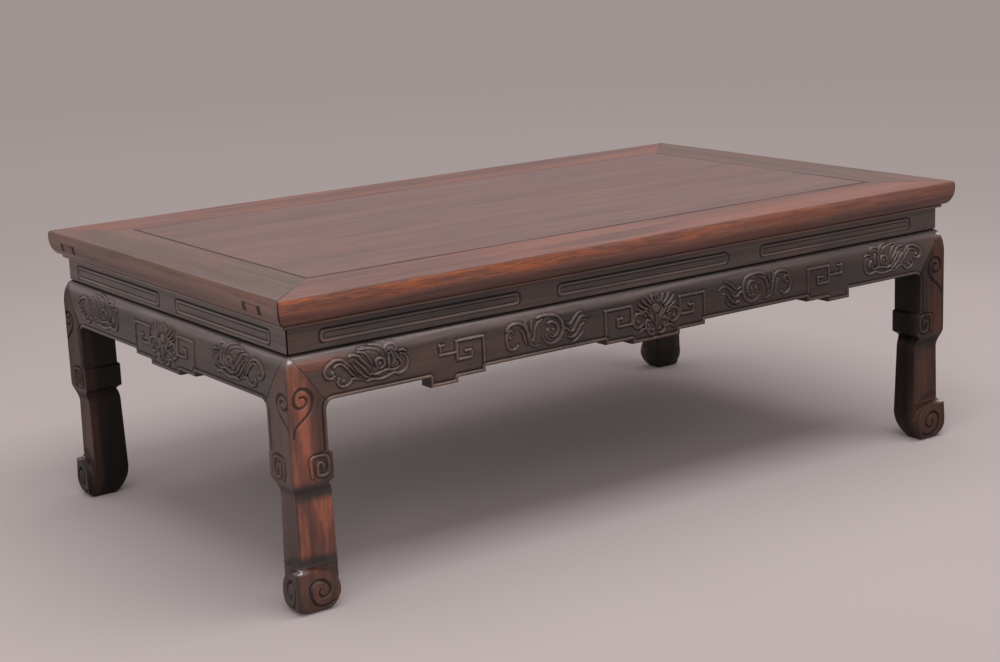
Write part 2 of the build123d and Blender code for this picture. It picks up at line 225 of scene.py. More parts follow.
class Carving:
    """Height of a carved face over points (u, v): raised strokes, each with a sunk margin beside it."""

    def __init__(self, u, v):
        self.u = u
        self.v = v
        self.raised = np.full(u.shape, UNRAISED)
        self.ground = np.zeros(u.shape)
        self.crowd = np.zeros(u.shape)

    def near(self, path, reach):
        """Indices of the points that the path can touch."""
        low = path.min(0) - reach
        high = path.max(0) + reach
        return np.nonzero((self.u > low[0]) & (self.u < high[0]) & (self.v > low[1]) & (self.v < high[1]))

    def add(self, where, gap, half, rise, sink, flat, margin):
        """Raises the points nearer than half, and sinks a margin beside them, deeper between two strands."""
        inside = np.clip(1 - (gap / half) ** flat, 0, 1) ** (1 / flat)
        ridge = np.where(gap < half, (rise + sink) * inside - sink, UNRAISED)
        self.raised[where] = np.maximum(self.raised[where], ridge)
        self.crowd[where] += sink * fade(gap, half, half + margin)

    def stroke(self, path, half_width, rise=1.3, sink=1.3, taper=(0.7, 0.2), flat=2.5, margin=2.0, tail=0.45):
        """A raised strand along the path. taper is the share of its width at its two ends, tail that of its
        height at the second one."""
        where = self.near(path, half_width + margin)
        gap, place = path_distance(self.u[where], self.v[where], path)
        half = swelling(half_width, taper, place)
        rise = rise * (1 - (1 - tail) * smoothstep(place, 0.5, 1.0))
        self.add(where, gap, half, rise, sink, flat, margin)

    def knob(self, centre, radius, rise=1.4, sink=0.8):
        """A round boss."""
        margin = 1.2
        where = self.near(centre[None], radius + margin)
        gap = np.hypot(self.u[where] - centre[0], self.v[where] - centre[1])
        self.add(where, gap, radius, rise, sink, 2.0, margin)

    def groove(self, path, half_width, depth, taper):
        """A rounded groove cut into the face."""
        where = self.near(path, half_width)
        gap, place = path_distance(self.u[where], self.v[where], path)
        cut = -depth * crown(gap, swelling(half_width, taper, place))
        self.ground[where] = np.minimum(self.ground[where], cut)

    def height(self):
        """The finished height, whose ground sinks between crowded strands, down to a limit."""
        sunk = -np.minimum(0.6 * self.crowd, 1.35)
        return np.maximum(self.raised, np.minimum(self.ground, sunk))


def as_drawn(path):
    """The path as it is."""
    return np.asarray(path, float)


def mirrored(path):
    """The path on the other side of the middle."""
    return np.asarray(path, float) * np.array([-1.0, 1.0])


def strands(carving, place, lines):
    """Smooth strands, each drawn as (half width, points)."""
    for half_width, points in lines:
        carving.stroke(place(smooth_path(points)), half_width * STRAND_FULLNESS)


def knobs(carving, place, bosses, **options):
    """Round bosses, each drawn as (centre, radius)."""
    for centre, radius in bosses:
        carving.knob(place(np.array([centre]))[0], radius, **options)


def fret(carving, place, corners, knots):
    """A thin squared bar with a knot at each of the given corners."""
    carving.stroke(place(np.array(corners, float)), 1.5, 1.3, 1.4, taper=(1, 1), flat=2.4, tail=1.0)
    knobs(carving, place, [(knot, 1.9) for knot in knots], rise=1.7, sink=0.5)


def add_edge_bead(relief, gap):
    """Adds the bead that follows the lower edge, and the valley beside it, by the distance from the edge."""
    bead = -VALLEY_DEPTH + (BEAD_RISE + VALLEY_DEPTH) * np.sqrt(crown(gap / BEAD_HALF - 1, 1))
    valley = -VALLEY_DEPTH * fade(gap, 2 * BEAD_HALF + 0.5, 2 * BEAD_HALF + 2.8)
    return np.where(gap < 2 * BEAD_HALF, bead, np.minimum(relief, relief + valley))


# ---- Motifs of the long apron, left half, as (along, z)

def plume(carving, place):
    """Leafy scroll between the leg and the key fret."""
    strands(carving, place, [
        (1.5, [(-386, 223.6), (-390, 221.6), (-395, 224), (-396.3, 229), (-393, 233.6), (-387, 236.6),
               (-382.7, 237.9), (-376.5, 236.8), (-372.7, 233.6), (-368.8, 229.8), (-365, 225.8),
               (-361, 221)]),
        (1.2, [(-386.5, 231.5), (-380, 234), (-375, 231.6), (-371, 227), (-367, 222), (-362, 218.5)]),
        (1.3, [(-381, 221), (-383, 217.2), (-380.5, 213.2), (-375, 212), (-370, 214), (-367, 217.6),
               (-361, 216.5), (-355, 213.6)]),
        (1.4, [(-369, 238.5), (-365, 239.6), (-358.8, 237.8), (-356.6, 234.9), (-352.4, 230), (-348.6, 226.6),
               (-346, 222)]),
        (1.2, [(-362, 233.4), (-358, 229.6), (-353.6, 224.8), (-350, 220), (-346, 216)]),
        (1.1, [(-366, 231), (-362.4, 226.8), (-357.6, 221.4), (-352, 217), (-346, 214.6)]),
        (1.1, [(-360, 241.4), (-355, 240.6), (-351, 238.8), (-348.4, 235), (-346, 230.6), (-343, 226)]),
        (1.2, [(-358, 243.4), (-350, 243.6), (-343, 242.2), (-338, 240.2), (-334.4, 236)]),
        (1.3, [(-349, 247), (-340, 245.6), (-333.4, 243.2), (-329.6, 239), (-328, 233)]),
        (1.4, [(-340.6, 226), (-340.6, 230), (-336.6, 232.2), (-332.4, 230.6), (-331, 226.4), (-333, 222.8),
               (-337, 222)]),
        (1.1, [(-327.4, 220), (-327.2, 225), (-326.4, 231), (-324.6, 236)]),
        (1.6, [(-330, 240.6), (-326, 243), (-321.6, 243.8), (-317.6, 242), (-316.2, 238.4), (-318.6, 235.6)]),
        (1.2, [(-323, 235.6), (-321.4, 230.6), (-321.6, 225.4), (-324, 221)]),
        (1.2, [(-347, 219.4), (-341, 217.4), (-331, 219.8), (-320.4, 218.6), (-314.2, 220.6)]),
        (1.5, [(-352, 213), (-345, 213.6), (-338, 212.4), (-330, 213.2), (-322, 215.6), (-315, 214),
               (-309, 216), (-306, 221), (-306, 227), (-309.6, 231.6), (-315, 233)]),
        (1.1, [(-316.4, 229), (-313.6, 226), (-312.4, 222.4), (-314.6, 219.6)]),
        (1.2, [(-315, 235.6), (-310.4, 236), (-305, 233.4)]),
    ])
    knobs(carving, place, [((-388, 226.6), 2.3), ((-376.4, 217.4), 2.2), ((-336.2, 227), 1.7)])


def key_fret(carving, place):
    """Squared hook that grows out of the bead of the lower edge."""
    fret(carving, place, [(-217.8, 199), (-217.8, 233.2), (-249.3, 233.2), (-249.3, 215), (-232.4, 215),
                          (-232.4, 222.4), (-239, 222.4)], [(-249.3, 233.2), (-239, 222.4), (-217.8, 233.2)])
    fret(carving, place, [(-249.3, 222.6), (-268.6, 222.6), (-268.6, 231.6), (-263.5, 231.6)],
         [(-268.6, 231.6), (-268.6, 222.6)])


def vine(carving, place):
    """Curling vine between the key fret and the middle."""
    strands(carving, place, [
        (1.5, [(-177, 216.6), (-179.4, 213.6), (-184, 212.8), (-188.4, 215.6), (-190.2, 221), (-190.2, 227),
               (-187.6, 231.4), (-183.6, 231.6), (-181.4, 228), (-182.6, 224.6)]),
        (1.6, [(-190, 232.4), (-186, 236.6), (-178, 238.4), (-170, 236), (-165.4, 229.4), (-163.6, 221.6),
               (-161.4, 215.6), (-156, 212), (-149.6, 213)]),
        (1.1, [(-172.4, 230.6), (-169.6, 225), (-168.2, 219.4), (-165.4, 214.2)]),
        (1.2, [(-164.6, 231.6), (-166.4, 236), (-165.4, 241.6)]),
        (1.1, [(-160.6, 229), (-159.8, 234), (-157.6, 239)]),
        (1.3, [(-158, 219.6), (-156.6, 224.4), (-155.4, 230), (-152, 234.6), (-147, 236.6), (-142.6, 237.8)]),
        (1.7, [(-152, 239.6), (-144, 241), (-135.6, 240.4), (-128.2, 238.4), (-123.2, 233.8), (-121.2, 227.6),
               (-121.8, 221), (-125.6, 215), (-132, 211.8), (-139, 212), (-144.6, 216), (-146.6, 221.6),
               (-145.4, 227)]),
        (1.5, [(-139.6, 232.6), (-134, 233.4), (-129, 230), (-127.2, 224.6), (-129.6, 219.4), (-134, 217.8),
               (-138, 219.6)]),
        (1.3, [(-121, 224.4), (-117, 223.8), (-112.4, 220.2), (-108, 220.8), (-104.6, 225.8), (-100.6, 230.4),
               (-96.8, 232.6), (-91.6, 232.4), (-86, 229.6)]),
        (1.2, [(-118, 229.6), (-112.6, 227.6), (-108, 231), (-102, 236), (-95, 238.4)]),
        (1.2, [(-116, 215.4), (-110, 213.6), (-104, 216.8), (-100.4, 221.6), (-96, 225), (-91, 225)]),
        (1.0, [(-112, 209.4), (-105, 210.4), (-99, 214.4), (-95, 218)]),
    ])
    knobs(carving, place, [((-186.6, 225), 1.7), ((-158.6, 218.6), 2.3), ((-140, 225.6), 2.4),
                           ((-133.4, 225.4), 1.8)])


def centre_frame(carving, place):
    """Squared frame beside the lotus."""
    fret(carving, place, [(-66.5, 203), (-66.5, 232.6), (-32.4, 232.6), (-32.4, 214), (-51, 214), (-51, 222),
                          (-45.6, 222)], [(-66.5, 232.6), (-32.4, 214.6), (-45.6, 222)])


def lotus(carving):
    """The plant in the middle of an apron: leaf crown, bud, stems, curls and the lower cloud head."""
    carving.knob(np.array((0.0, 225.6)), 5.6, 1.8, 0.9)
    for side in (as_drawn, mirrored):
        strands(carving, side, [
            (1.6, [(-2.6, 232), (-4.6, 236), (-2.6, 240.6)]),
            (1.6, [(-6, 231.4), (-9, 235), (-12, 239.6)]),
            (1.5, [(-9.6, 229.4), (-14, 232.4), (-20.4, 240)]),
            (1.4, [(-11.6, 226.6), (-18, 229), (-26, 236.4)]),
            (1.2, [(-13, 223.6), (-19, 225), (-27.6, 229.6)]),
            (1.4, [(-14.6, 226), (-10.4, 220.6), (-5.2, 214.6), (-1.2, 209)]),
            (1.2, [(-8.6, 224), (-6, 219), (-2, 214.6)]),
            (1.5, [(-14, 219.4), (-18.6, 222.6), (-24, 223.2), (-29, 220.4), (-30.6, 215), (-27.6, 209.8),
                   (-22, 208.4), (-17.6, 211.4), (-17.4, 216), (-21, 218)]),
            (1.4, [(-8, 213.6), (-12, 214.4), (-14.6, 211), (-13, 206), (-9, 203.4)]),
            (1.4, [(-9.6, 206.4), (-11.4, 202.6), (-9, 199.4), (-4.4, 198.6), (-1, 200.8)]),
            (1.2, [(-13, 204.6), (-17.4, 206.2), (-22, 203.8), (-24, 200.6)]),
        ])
        knobs(carving, side, [((-24, 214.4), 2.2), ((-10.4, 208.4), 1.9), ((-5, 203.6), 1.8)])
    carving.stroke(np.array([(0.0, 232), (0.0, 241)]), 1.3)
    carving.stroke(np.array([(0.0, 219), (0.0, 203)]), 1.2)


def carve_long(carving):
    """All motifs of a long apron."""
    for side in (as_drawn, mirrored):
        for motif in (plume, key_fret, vine, centre_frame):
            motif(carving, side)
    lotus(carving)


def carve_short(carving):
    """All motifs of a short apron: the same plant and frames, and the leafy scroll drawn wider."""
    hook_long = -314.6    # where the scroll's last hook stands on the long apron
    hook_short = -119.0
    widening = 1.12

    def spread(path):
        path = np.array(path, float)
        path[:, 0] = hook_short + (path[:, 0] - hook_long) * widening
        return path

    for side in (as_drawn, mirrored):
        plume(carving, lambda path, side=side: side(spread(path)))
        centre_frame(carving, side)
    lotus(carving)


# ---- Lattices

class Shape:
    """Points, faces and painted values of a piece that is being drawn, in millimetres."""

    def __init__(self):
        self.points = []
        self.faces = []
        self.caps = []
        self.values = {}
        self.count = 0

    def lattice(self, a, b, c, skip=None, wrap=False, **values):
        """Adds a sheet of quads over three arrays of coordinates, without those to skip. wrap makes it a tube
        with flat ends. values are painted on its points."""
        index = self.count + np.arange(a.size).reshape(a.shape)
        self.points.append(np.stack([a.ravel(), b.ravel(), c.ravel()], 1))
        rows = np.concatenate([index, index[:, :1]], 1) if wrap else index
        quads = np.stack([rows[:-1, :-1], rows[1:, :-1], rows[1:, 1:], rows[:-1, 1:]], -1)
        if skip is not None:
            quads = quads[~skip]
        self.faces.append(quads.reshape(-1, 4))
        for name, value in values.items():
            self.values.setdefault(name, []).append((self.count, np.broadcast_to(value, a.shape).ravel()))
        if wrap:
            self.caps += [list(index[0]), list(index[-1])]
        self.count += a.size


SOFT_ARRIS = (2.6, 6.5)    # how far the rounding of the top's edge reaches inwards and down
QUIRK = 0.7                # depth of the sharp groove between the moulding and its bead
TOP_INSETS = (66.0, 56.0, 46.0, 36.0, 26.0, 17.0, 11.0, 7.5)


def rail_section():
    """(inset, z) round a rail, from the panel joint over the edge to the underside."""
    band_foot = HEIGHT - EDGE_BAND
    top = [(RAIL_WIDTH, HEIGHT - 0.5), (RAIL_WIDTH - 0.15, HEIGHT - 0.15), (RAIL_WIDTH - 0.5, HEIGHT)]
    top += [(inset, HEIGHT) for inset in TOP_INSETS]
    arris = arc((SOFT_ARRIS[0], HEIGHT - SOFT_ARRIS[1]), SOFT_ARRIS, 90, 180, 10)
    sweep = arc((MOULDING_REACH, band_foot), (MOULDING_REACH, band_foot - MOULDING_FOOT), 180, 270, 14)
    marks = []
    for z in (TENON_TOP, TENON_LOW):
        share = math.sqrt(1 - ((band_foot - z) / (band_foot - MOULDING_FOOT)) ** 2)
        marks.append((MOULDING_REACH * (1 - share), z))
    sweep = np.array(sorted([tuple(p) for p in sweep] + marks, key=lambda p: -p[1]))
    bead_inset = MOULDING_REACH + BEAD_STEP
    bead = arc((bead_inset + BEAD_RADIUS, FRAME_UNDER + BEAD_RADIUS), BEAD_RADIUS, 180, 270, 7)
    groove = RAIL_WIDTH - TONGUE_LENGTH - 0.5
    under = [(24.0, FRAME_UNDER), (48.0, FRAME_UNDER), (RAIL_WIDTH, FRAME_UNDER), (RAIL_WIDTH, PANEL_UNDER),
             (groove, PANEL_UNDER), (groove, TONGUE_TOP), (RAIL_WIDTH, TONGUE_TOP)]
    quirk = [(bead_inset, MOULDING_FOOT), (bead_inset + 0.5, MOULDING_FOOT - QUIRK),
             (bead_inset, MOULDING_FOOT - 2 * QUIRK)]
    return np.vstack([top, arris, sweep, quirk, bead, under])


def tenon_rows(section):
    """Which of the section's points lie between the upper and the lower face of the tenons."""
    inset, z = section.T
    return (z >= TENON_LOW - TINY) & (z <= TENON_TOP + TINY) & (inset < 3)


# Distances of a rail's columns of points from the mitre, or from the end of the side at the outer edge
RAIL_COLUMNS = [MITRE, 0.6, 1.4, 3.0, 6.0, 10.0, 15.0, 21.0, 27.0, TENON_START - WEDGE_WIDTH, TENON_START,
                44.75, 51.5, 58.25, TENON_END, TENON_END + WEDGE_WIDTH, RAIL_WIDTH]


def from_end(inset, column):
    """Distance from the end of the side at which a rail's column of points crosses this inset: straight up
    the outer edge, where the tenons show, and along the mitre further in."""
    window = TENON_START - WEDGE_WIDTH
    if inset < 3 and column >= window:
        return column
    if inset < 3:
        return inset + (window - inset) * column / window
    return inset + (RAIL_WIDTH - inset) * column / RAIL_WIDTH


def make_rail(half, pockets, seed, warmth, lower_shade):
    """A rail of the top with mitred ends, beside a side of the given half length, with pockets for the tenons
    where they are wanted. warmth says how warm its edge is, as a list of places, from -1 to 1, and a list of
    strengths. The last argument sets the painted shade on its lower moulding, which also darkens the quirk
    and dims the painted sheen."""
    section = rail_section()
    inner = half - RAIL_WIDTH
    middle = np.linspace(-inner, inner, int(inner / RAIL_STEP))[1:-1]
    along = []
    for inset, height in section:
        opening = (EDGE_MITRE - MITRE) * smoothstep(HEIGHT - height, 1.0, 8.0) * (inset < 12)
        ends = np.array([half - from_end(inset, column) for column in RAIL_COLUMNS])
        ends[0] -= opening
        ends[1] -= 0.6 * opening
        along.append(np.concatenate([-ends, middle, ends[::-1]]))
    joint_gap = np.concatenate([RAIL_COLUMNS, np.full(len(middle), FAR), RAIL_COLUMNS[::-1]])
    along = np.array(along).T
    inset = np.repeat(section[None, :, 0], len(along), 0)
    z = np.repeat(section[None, :, 1], len(along), 0)
    near_top = smoothstep(z, 290, 300)
    hollow = WORN_HOLLOW * (waviness(along, inset * 3, seed) - 1)
    z = z + hollow * (z > HEIGHT - TINY)
    bitten = WORN_EDGE * (1 + waviness(along, z * 4, seed + 1))
    inset = inset + bitten * (inset < 9) * (z < HEIGHT - 0.2) * near_top
    relief_paint = -0.95 * bell(joint_gap[:, None], np.where(z < HEIGHT - 2, 1.5, 0.8))
    relief_paint = np.minimum(relief_paint, -0.9 * bell(RAIL_WIDTH - inset, 0.7) * (z > TONGUE_TOP))
    outside = (inset < 12.6) & (z > FRAME_UNDER + 0.1)
    bead = outside & (z < MOULDING_FOOT - 1.2)
    # Painted shade and soiling in the quirk, and painted shade down the lower moulding, less on its bead
    quirk = (0.6 + 0.8 * lower_shade) * bell(z - MOULDING_FOOT + QUIRK, 0.8)
    relief_paint = np.minimum(relief_paint, -quirk * outside)
    relief_paint = np.minimum(relief_paint, -lower_shade * fade(z, 286, 293) * outside * np.where(bead, 0.75, 1.0))
    # Painted sheen on the bead, a painted highlight low on the moulding and painted sheen on its upper band
    pale = 0.45 - lower_shade
    bloom = (0.16 + pale) * bead + pale * bell(z - 282, 2.2) * outside
    bloom = bloom + pale * smoothstep(z, 287, 297) * fade(z, 298, 304)
    warm = np.interp(along / half, *warmth) * smoothstep(z, 288, 295) * fade(z, 302.5, 304.6)
    skip = None
    if pockets:
        rows = tenon_rows(section)
        cell_rows = rows[:-1] & rows[1:]
        low, high = TENON_START - WEDGE_WIDTH, TENON_END + WEDGE_WIDTH
        inside = (joint_gap >= low - TINY) & (joint_gap <= high + TINY)
        cell_columns = inside[:-1] & inside[1:]
        skip = np.zeros((len(along) - 1, len(section)), bool)
        skip[:, :-1] = cell_columns[:, None] & cell_rows[None, :]
    shape = Shape()
    shape.lattice(along, inset, z, skip=skip, wrap=True, relief=relief_paint, warm=warm, bloom=bloom)
    return shape


def make_plug(half, start, end, sunk):
    """End of a tenon or wedge seen in the short side's moulding, between two distances from its end."""
    section = rail_section()
    section = section[tenon_rows(section)]
    z = np.clip(section[:, 1], TENON_LOW + JOINT, TENON_TOP - JOINT)
    columns = np.linspace(start + JOINT, end - JOINT, 6)
    inset = np.repeat(section[None, :, 0], len(columns), 0) + sunk
    along = np.repeat((half - columns)[:, None], len(z), 1)
    z = np.repeat(z[None], len(columns), 0)
    rim = np.zeros_like(z)
    rim[:, 0] = -0.7
    rim[0] = rim[-1] = -0.95
    shape = Shape()
    shape.lattice(along, inset, z, relief=rim)
    return shape


# ---- Waist

def rounded_box_gap(u, v, half_u, half_v, radius):
    """Signed distance from a rectangle with rounded corners, negative inside."""
    qu = np.abs(u) - half_u + radius
    qv = np.abs(v) - half_v + radius
    outside = np.hypot(np.maximum(qu, 0), np.maximum(qv, 0))
    return outside + np.minimum(np.maximum(qu, qv), 0) - radius


def make_waist(kind):
    """A waist board with its sunk-lined cartouches, for the long or the short side."""
    half, cartouches = kind["half"], kind["cartouches"]
    limit = half - WAIST_INSET - WAIST_MITRE
    along = np.linspace(-limit, limit, int(2 * limit / 1.1))
    z = np.linspace(APRON_TOP, FRAME_UNDER, 52)
    along, z = np.meshgrid(along, z, indexing="ij")
    gap = np.full(along.shape, FAR)
    middle_z, half_height = kind["box"]
    for middle, size in cartouches:
        one = rounded_box_gap(along - middle, z - middle_z, size / 2, half_height, kind["corner"])
        gap = np.minimum(gap, one)
    lower_run = fade(z, middle_z - 2, middle_z + 2)
    near_end = np.min([np.abs(np.abs(along - middle) - size / 2) for middle, size in cartouches], 0)
    reach = 2.0 - 0.9 * smoothstep(near_end, 1, 4)
    outer = -LINE_DEPTH * crown(gap, reach) * (1 - 0.65 * lower_run * smoothstep(near_end, 2, 6))
    inner = -INNER_LINE_DEPTH * crown(gap + INNER_LINE, 0.8)
    bead = LINE_BEAD_RISE * crown(gap + LINE_BEAD, 1.0)
    relief = outer + inner + bead
    relief = relief - WAIST_SINK * fade(z, APRON_TOP + 0.9, APRON_TOP + 1.8)
    relief = relief - 0.3 * smoothstep(z, FRAME_UNDER - 1.4, FRAME_UNDER - 0.4)
    on_bead = crown(gap + LINE_BEAD, 1.1)
    # Rubbing and a painted highlight on the beads, mostly on their lower runs, where light falls
    edge = np.interp(along / half, *kind["waist_bead_wear_and_light"]) * (0.1 + 0.9 * lower_run) * on_bead
    shape = Shape()
    # Painted sheen on the cartouches' beads
    shape.lattice(along, WAIST_INSET - relief, z, relief=relief, edge=edge, bloom=kind["pale"] * on_bead)
    return shape


# ---- Aprons

def shoulder_profile():
    """(z, inset) along the rounded shoulder, upwards."""
    reach = WAIST_INSET - FACE_INSET
    curve = bezier((FACE_INSET, APRON_TOP - SHOULDER_HEIGHT),
                   (FACE_INSET + 0.1 * reach, APRON_TOP - 0.42 * SHOULDER_HEIGHT),
                   (WAIST_INSET - 0.52 * reach, APRON_TOP - 0.12 * SHOULDER_HEIGHT),
                   (WAIST_INSET, APRON_TOP), 80)
    return curve[:, 1], curve[:, 0]


SHOULDER_Z, SHOULDER_INSET = shoulder_profile()


def lower_outline(steps, half):
    """The lower edge from the middle to the leg, round the corner and down the leg to its block."""
    drop = DEEP_DROP
    points = [(0.0, APRON_BOTTOM - drop)]
    for distance, next_drop in steps:
        points += [(distance, APRON_BOTTOM - drop), (distance, APRON_BOTTOM - next_drop)]
        drop = next_drop
    inner = half - LEG_INNER
    corner = arc((inner - CORNER_RADIUS, APRON_BOTTOM - CORNER_RADIUS), CORNER_RADIUS, 90, 0)
    return np.vstack([np.array(points), corner, [(inner, BLOCK_TOP)]])


def mitre_gap(inset_along, z):
    """Distance from the slanted joint between apron and leg, by the inset measured along the side."""
    joint_z = APRON_TOP - (inset_along - WAIST_INSET) * SLANT
    return np.abs(z - joint_z) / math.hypot(1, SLANT)


def end_bottom(along, half):
    """Lower boundary of the apron's end: the rounded corner, then the joint with the leg."""
    centre = half - LEG_INNER - CORNER_RADIUS
    fall = np.sqrt(np.clip(CORNER_RADIUS ** 2 - (along - centre) ** 2, 0, None))
    corner = APRON_BOTTOM - CORNER_RADIUS + fall
    joint = APRON_TOP - (half - along - WAIST_INSET) * SLANT
    return np.maximum(corner, joint)


def apron_patches(steps, half):
    """Lattices (along, z) that cover the right half of an apron's face, column by column."""
    marks = [0.0] + [s[0] for s in steps] + [half - LEG_INNER - CORNER_RADIUS]
    drops = [DEEP_DROP] + [s[1] for s in steps]
    rise = np.linspace(APRON_BOTTOM, APRON_TOP, int((APRON_TOP - APRON_BOTTOM) / LATTICE) + 1)
    low = np.linspace(APRON_BOTTOM - SHALLOW_DROP, APRON_BOTTOM, 8)[:-1]
    lowest = low - SHALLOW_DROP
    patches = []
    for start, end, drop in zip(marks[:-1], marks[1:], drops):
        along = np.linspace(start, end, max(2, int(round((end - start) / LATTICE)) + 1))
        levels = [rise]
        if drop >= SHALLOW_DROP:
            levels.insert(0, low)
        if drop >= DEEP_DROP:
            levels.insert(0, lowest)
        patches.append(np.meshgrid(along, np.concatenate(levels), indexing="ij"))
    last = half - WAIST_INSET - 0.2
    along = np.linspace(marks[-1], last, int((last - marks[-1]) / (LATTICE * 0.8)))
    bottom = end_bottom(along, half)
    share = (rise - APRON_BOTTOM) / (APRON_TOP - APRON_BOTTOM)
    z = bottom[:, None] + share[None, :] * (APRON_TOP - bottom)[:, None]
    patches.append((np.repeat(along[:, None], len(rise), 1), z))
    return patches


def shoulder_bloom(z):
    """How strong the painted sheen on the rounded shoulder is at this height."""
    return smoothstep(APRON_TOP - z, 0.6, 3.0) * fade(APRON_TOP - z, 3.0, 12.5)


EDGE_ZONE = 9.0       # height above the bottom and
CORNER_ZONE = 20.0    # distance from the leg within which the lower edge's bead can lie


def make_apron(kind):
    """The carved face of the long or the short apron."""
    steps, half, ends_warm = kind["steps"], kind["half"], kind["ends_warm"]
    outline = lower_outline(steps, half)
    sheets = [(side * along, z) for along, z in apron_patches(steps, half) for side in (1, -1)]
    u = np.concatenate([along.ravel() for along, z in sheets])
    v = np.concatenate([z.ravel() for along, z in sheets])
    carving = Carving(u, v)
    kind["carve"](carving)
    relief = carving.height()
    gap = np.full(v.shape, FAR)
    near = np.nonzero((v < APRON_BOTTOM + EDGE_ZONE) | (np.abs(u) > half - LEG_INNER - CORNER_ZONE))
    gap[near] = path_distance(np.abs(u[near]), v[near], outline)[0]
    relief = add_edge_bead(relief, gap)
    relief = relief - MITRE_DEPTH * bell(mitre_gap(half - np.abs(u), v), MITRE_LINE)
    relief = relief * smoothstep(APRON_TOP - v, 0.0, 3.0) - 0.5 * bell(APRON_TOP - v, 0.7)
    # Rubbing and a painted highlight on the upper half of the lower edge's bead
    edge = np.interp(u / half, *kind["apron_bead_wear_and_highlight"]) * crown(gap / BEAD_HALF - 1.2, 0.8)
    shade = np.interp(u / half, *kind["shade"])
    # Painted sheen along the rounded shoulder
    bloom = np.interp(u / half, *kind["bloom"]) * shoulder_bloom(v)
    # Painted shade: the hollows' dark is weakened near the lower edge, and the bead's underside is painted
    # dark
    relief_paint = np.where((gap < 2 * BEAD_HALF + 3) & (relief < 0), 0.4 * relief, relief)
    relief_paint = np.where(gap < 1.1, np.minimum(relief_paint, -0.4 * fade(gap, 0.3, 1.1)), relief_paint)
    from_left = smoothstep(-u, half - 90, half - 35) * ends_warm[0]
    from_right = smoothstep(u, half - 60, half - 20) * ends_warm[1]
    warm = (from_left + from_right) * smoothstep(v, 226, 241) * fade(v, 241, 246.5)
    inset = np.interp(v, SHOULDER_Z, SHOULDER_INSET) - relief
    shape = Shape()
    start = 0
    for along, z in sheets:
        part = slice(start, start + along.size)
        painted = {"relief": relief_paint, "edge": edge, "warm": warm, "shade": shade, "bloom": bloom}
        shape.lattice(along, inset[part].reshape(along.shape), z,
                      **{name: value[part].reshape(along.shape) for name, value in painted.items()})
        start += along.size
    return shape


# ---- Legs

SOLE_INSET = 15.0
FOOT_INSET = 5.0
FOOT_TOP = 46.0
JOINT_FOOT = 199.0    # where the slanted joint with the apron runs out into the rounded corner
WORN_BLOCK = 4.5      # how far the edge between a leg's inner faces is rounded at the block
WORN_INSIDE = 1.6     # and elsewhere


def leg_outer_profile():
    """(z, inset) of the leg's outer faces, upwards from the floor."""
    foot = bezier((SOLE_INSET, 0.0), (7.0, 0.0), (FOOT_INSET, 9.9), (FOOT_INSET, 22.0), 30)
    lip = [(5.9, 42.0), (6.3, 43.0), (7.2, 44.1), (9.2, 45.3), (12.6, 46.4)]
    turn = bezier((13.4, 110.0), (12.8, 120.5), (8.4, 124.0), (FACE_INSET, 131.0), 24)
    line = np.vstack([foot, lip, turn, [(FACE_INSET, 224.9)]])
    return np.concatenate([line[:, 1], SHOULDER_Z]), np.concatenate([line[:, 0], SHOULDER_INSET])


def leg_inner_profile(insets):
    """(z, inset) of the leg's inner faces, upwards from the floor."""
    radius = 50.0    # of the foot's hollow back
    rise = 33.0      # height of its fullest place
    block, notch, lower = insets["block"], insets["notch"], insets["lower"]
    z = np.linspace(0, rise, 14)
    foot = np.stack([insets["foot"] - radius + np.sqrt(radius ** 2 - (rise - z) ** 2), z], 1)
    turn = bezier((lower, 107.0), (lower, 115.5), (lower - 1.2, 119.75), (notch, NOTCH), 14)
    corner = arc((block - BLOCK_RADIUS, BLOCK_TOP - BLOCK_RADIUS), BLOCK_RADIUS, 0, 90, 8)
    line = np.vstack([foot, turn, [(block, BLOCK_BOTTOM)], corner, [(LEG_INNER, BLOCK_TOP + 0.02)],
                      [(LEG_INNER, APRON_TOP)]])
    return line[:, 1], line[:, 0]


OUTER_Z, OUTER_INSET = leg_outer_profile()
LONG_PROFILE = leg_inner_profile(LONG_INNER)
SHORT_PROFILE = leg_inner_profile(SHORT_INNER)


def leg_reach(z, profile):
    """How far a leg's outer face reaches from the corner at height z, with this profile of its inner face."""
    if z <= APRON_BOTTOM - CORNER_RADIUS:
        return float(np.interp(z, *profile))
    joint = WAIST_INSET + (APRON_TOP - z) / SLANT
    fall = math.sqrt(max(CORNER_RADIUS ** 2 - (z - (APRON_BOTTOM - CORNER_RADIUS)) ** 2, 0))
    return min(joint, LEG_INNER + CORNER_RADIUS - fall)


def leg_rows():
    """Heights of the leg's rows of points."""
    fine = np.arange(1.0, APRON_TOP - 0.4, LATTICE)
    sole = OUTER_Z[OUTER_Z < 1.0]
    marks = [BLOCK_BOTTOM, BLOCK_TOP, BLOCK_TOP + 0.02, NOTCH, FOOT_TOP - 2, FOOT_TOP, JOINT_FOOT + 0.3]
    heights = LONG_PROFILE[0]
    corner = heights[(heights > BLOCK_TOP - BLOCK_RADIUS) & (heights < BLOCK_TOP)]
    rows = np.unique(np.concatenate([sole, fine, marks, corner]))
    return rows[np.concatenate([[True], np.diff(rows) > 0.015])]


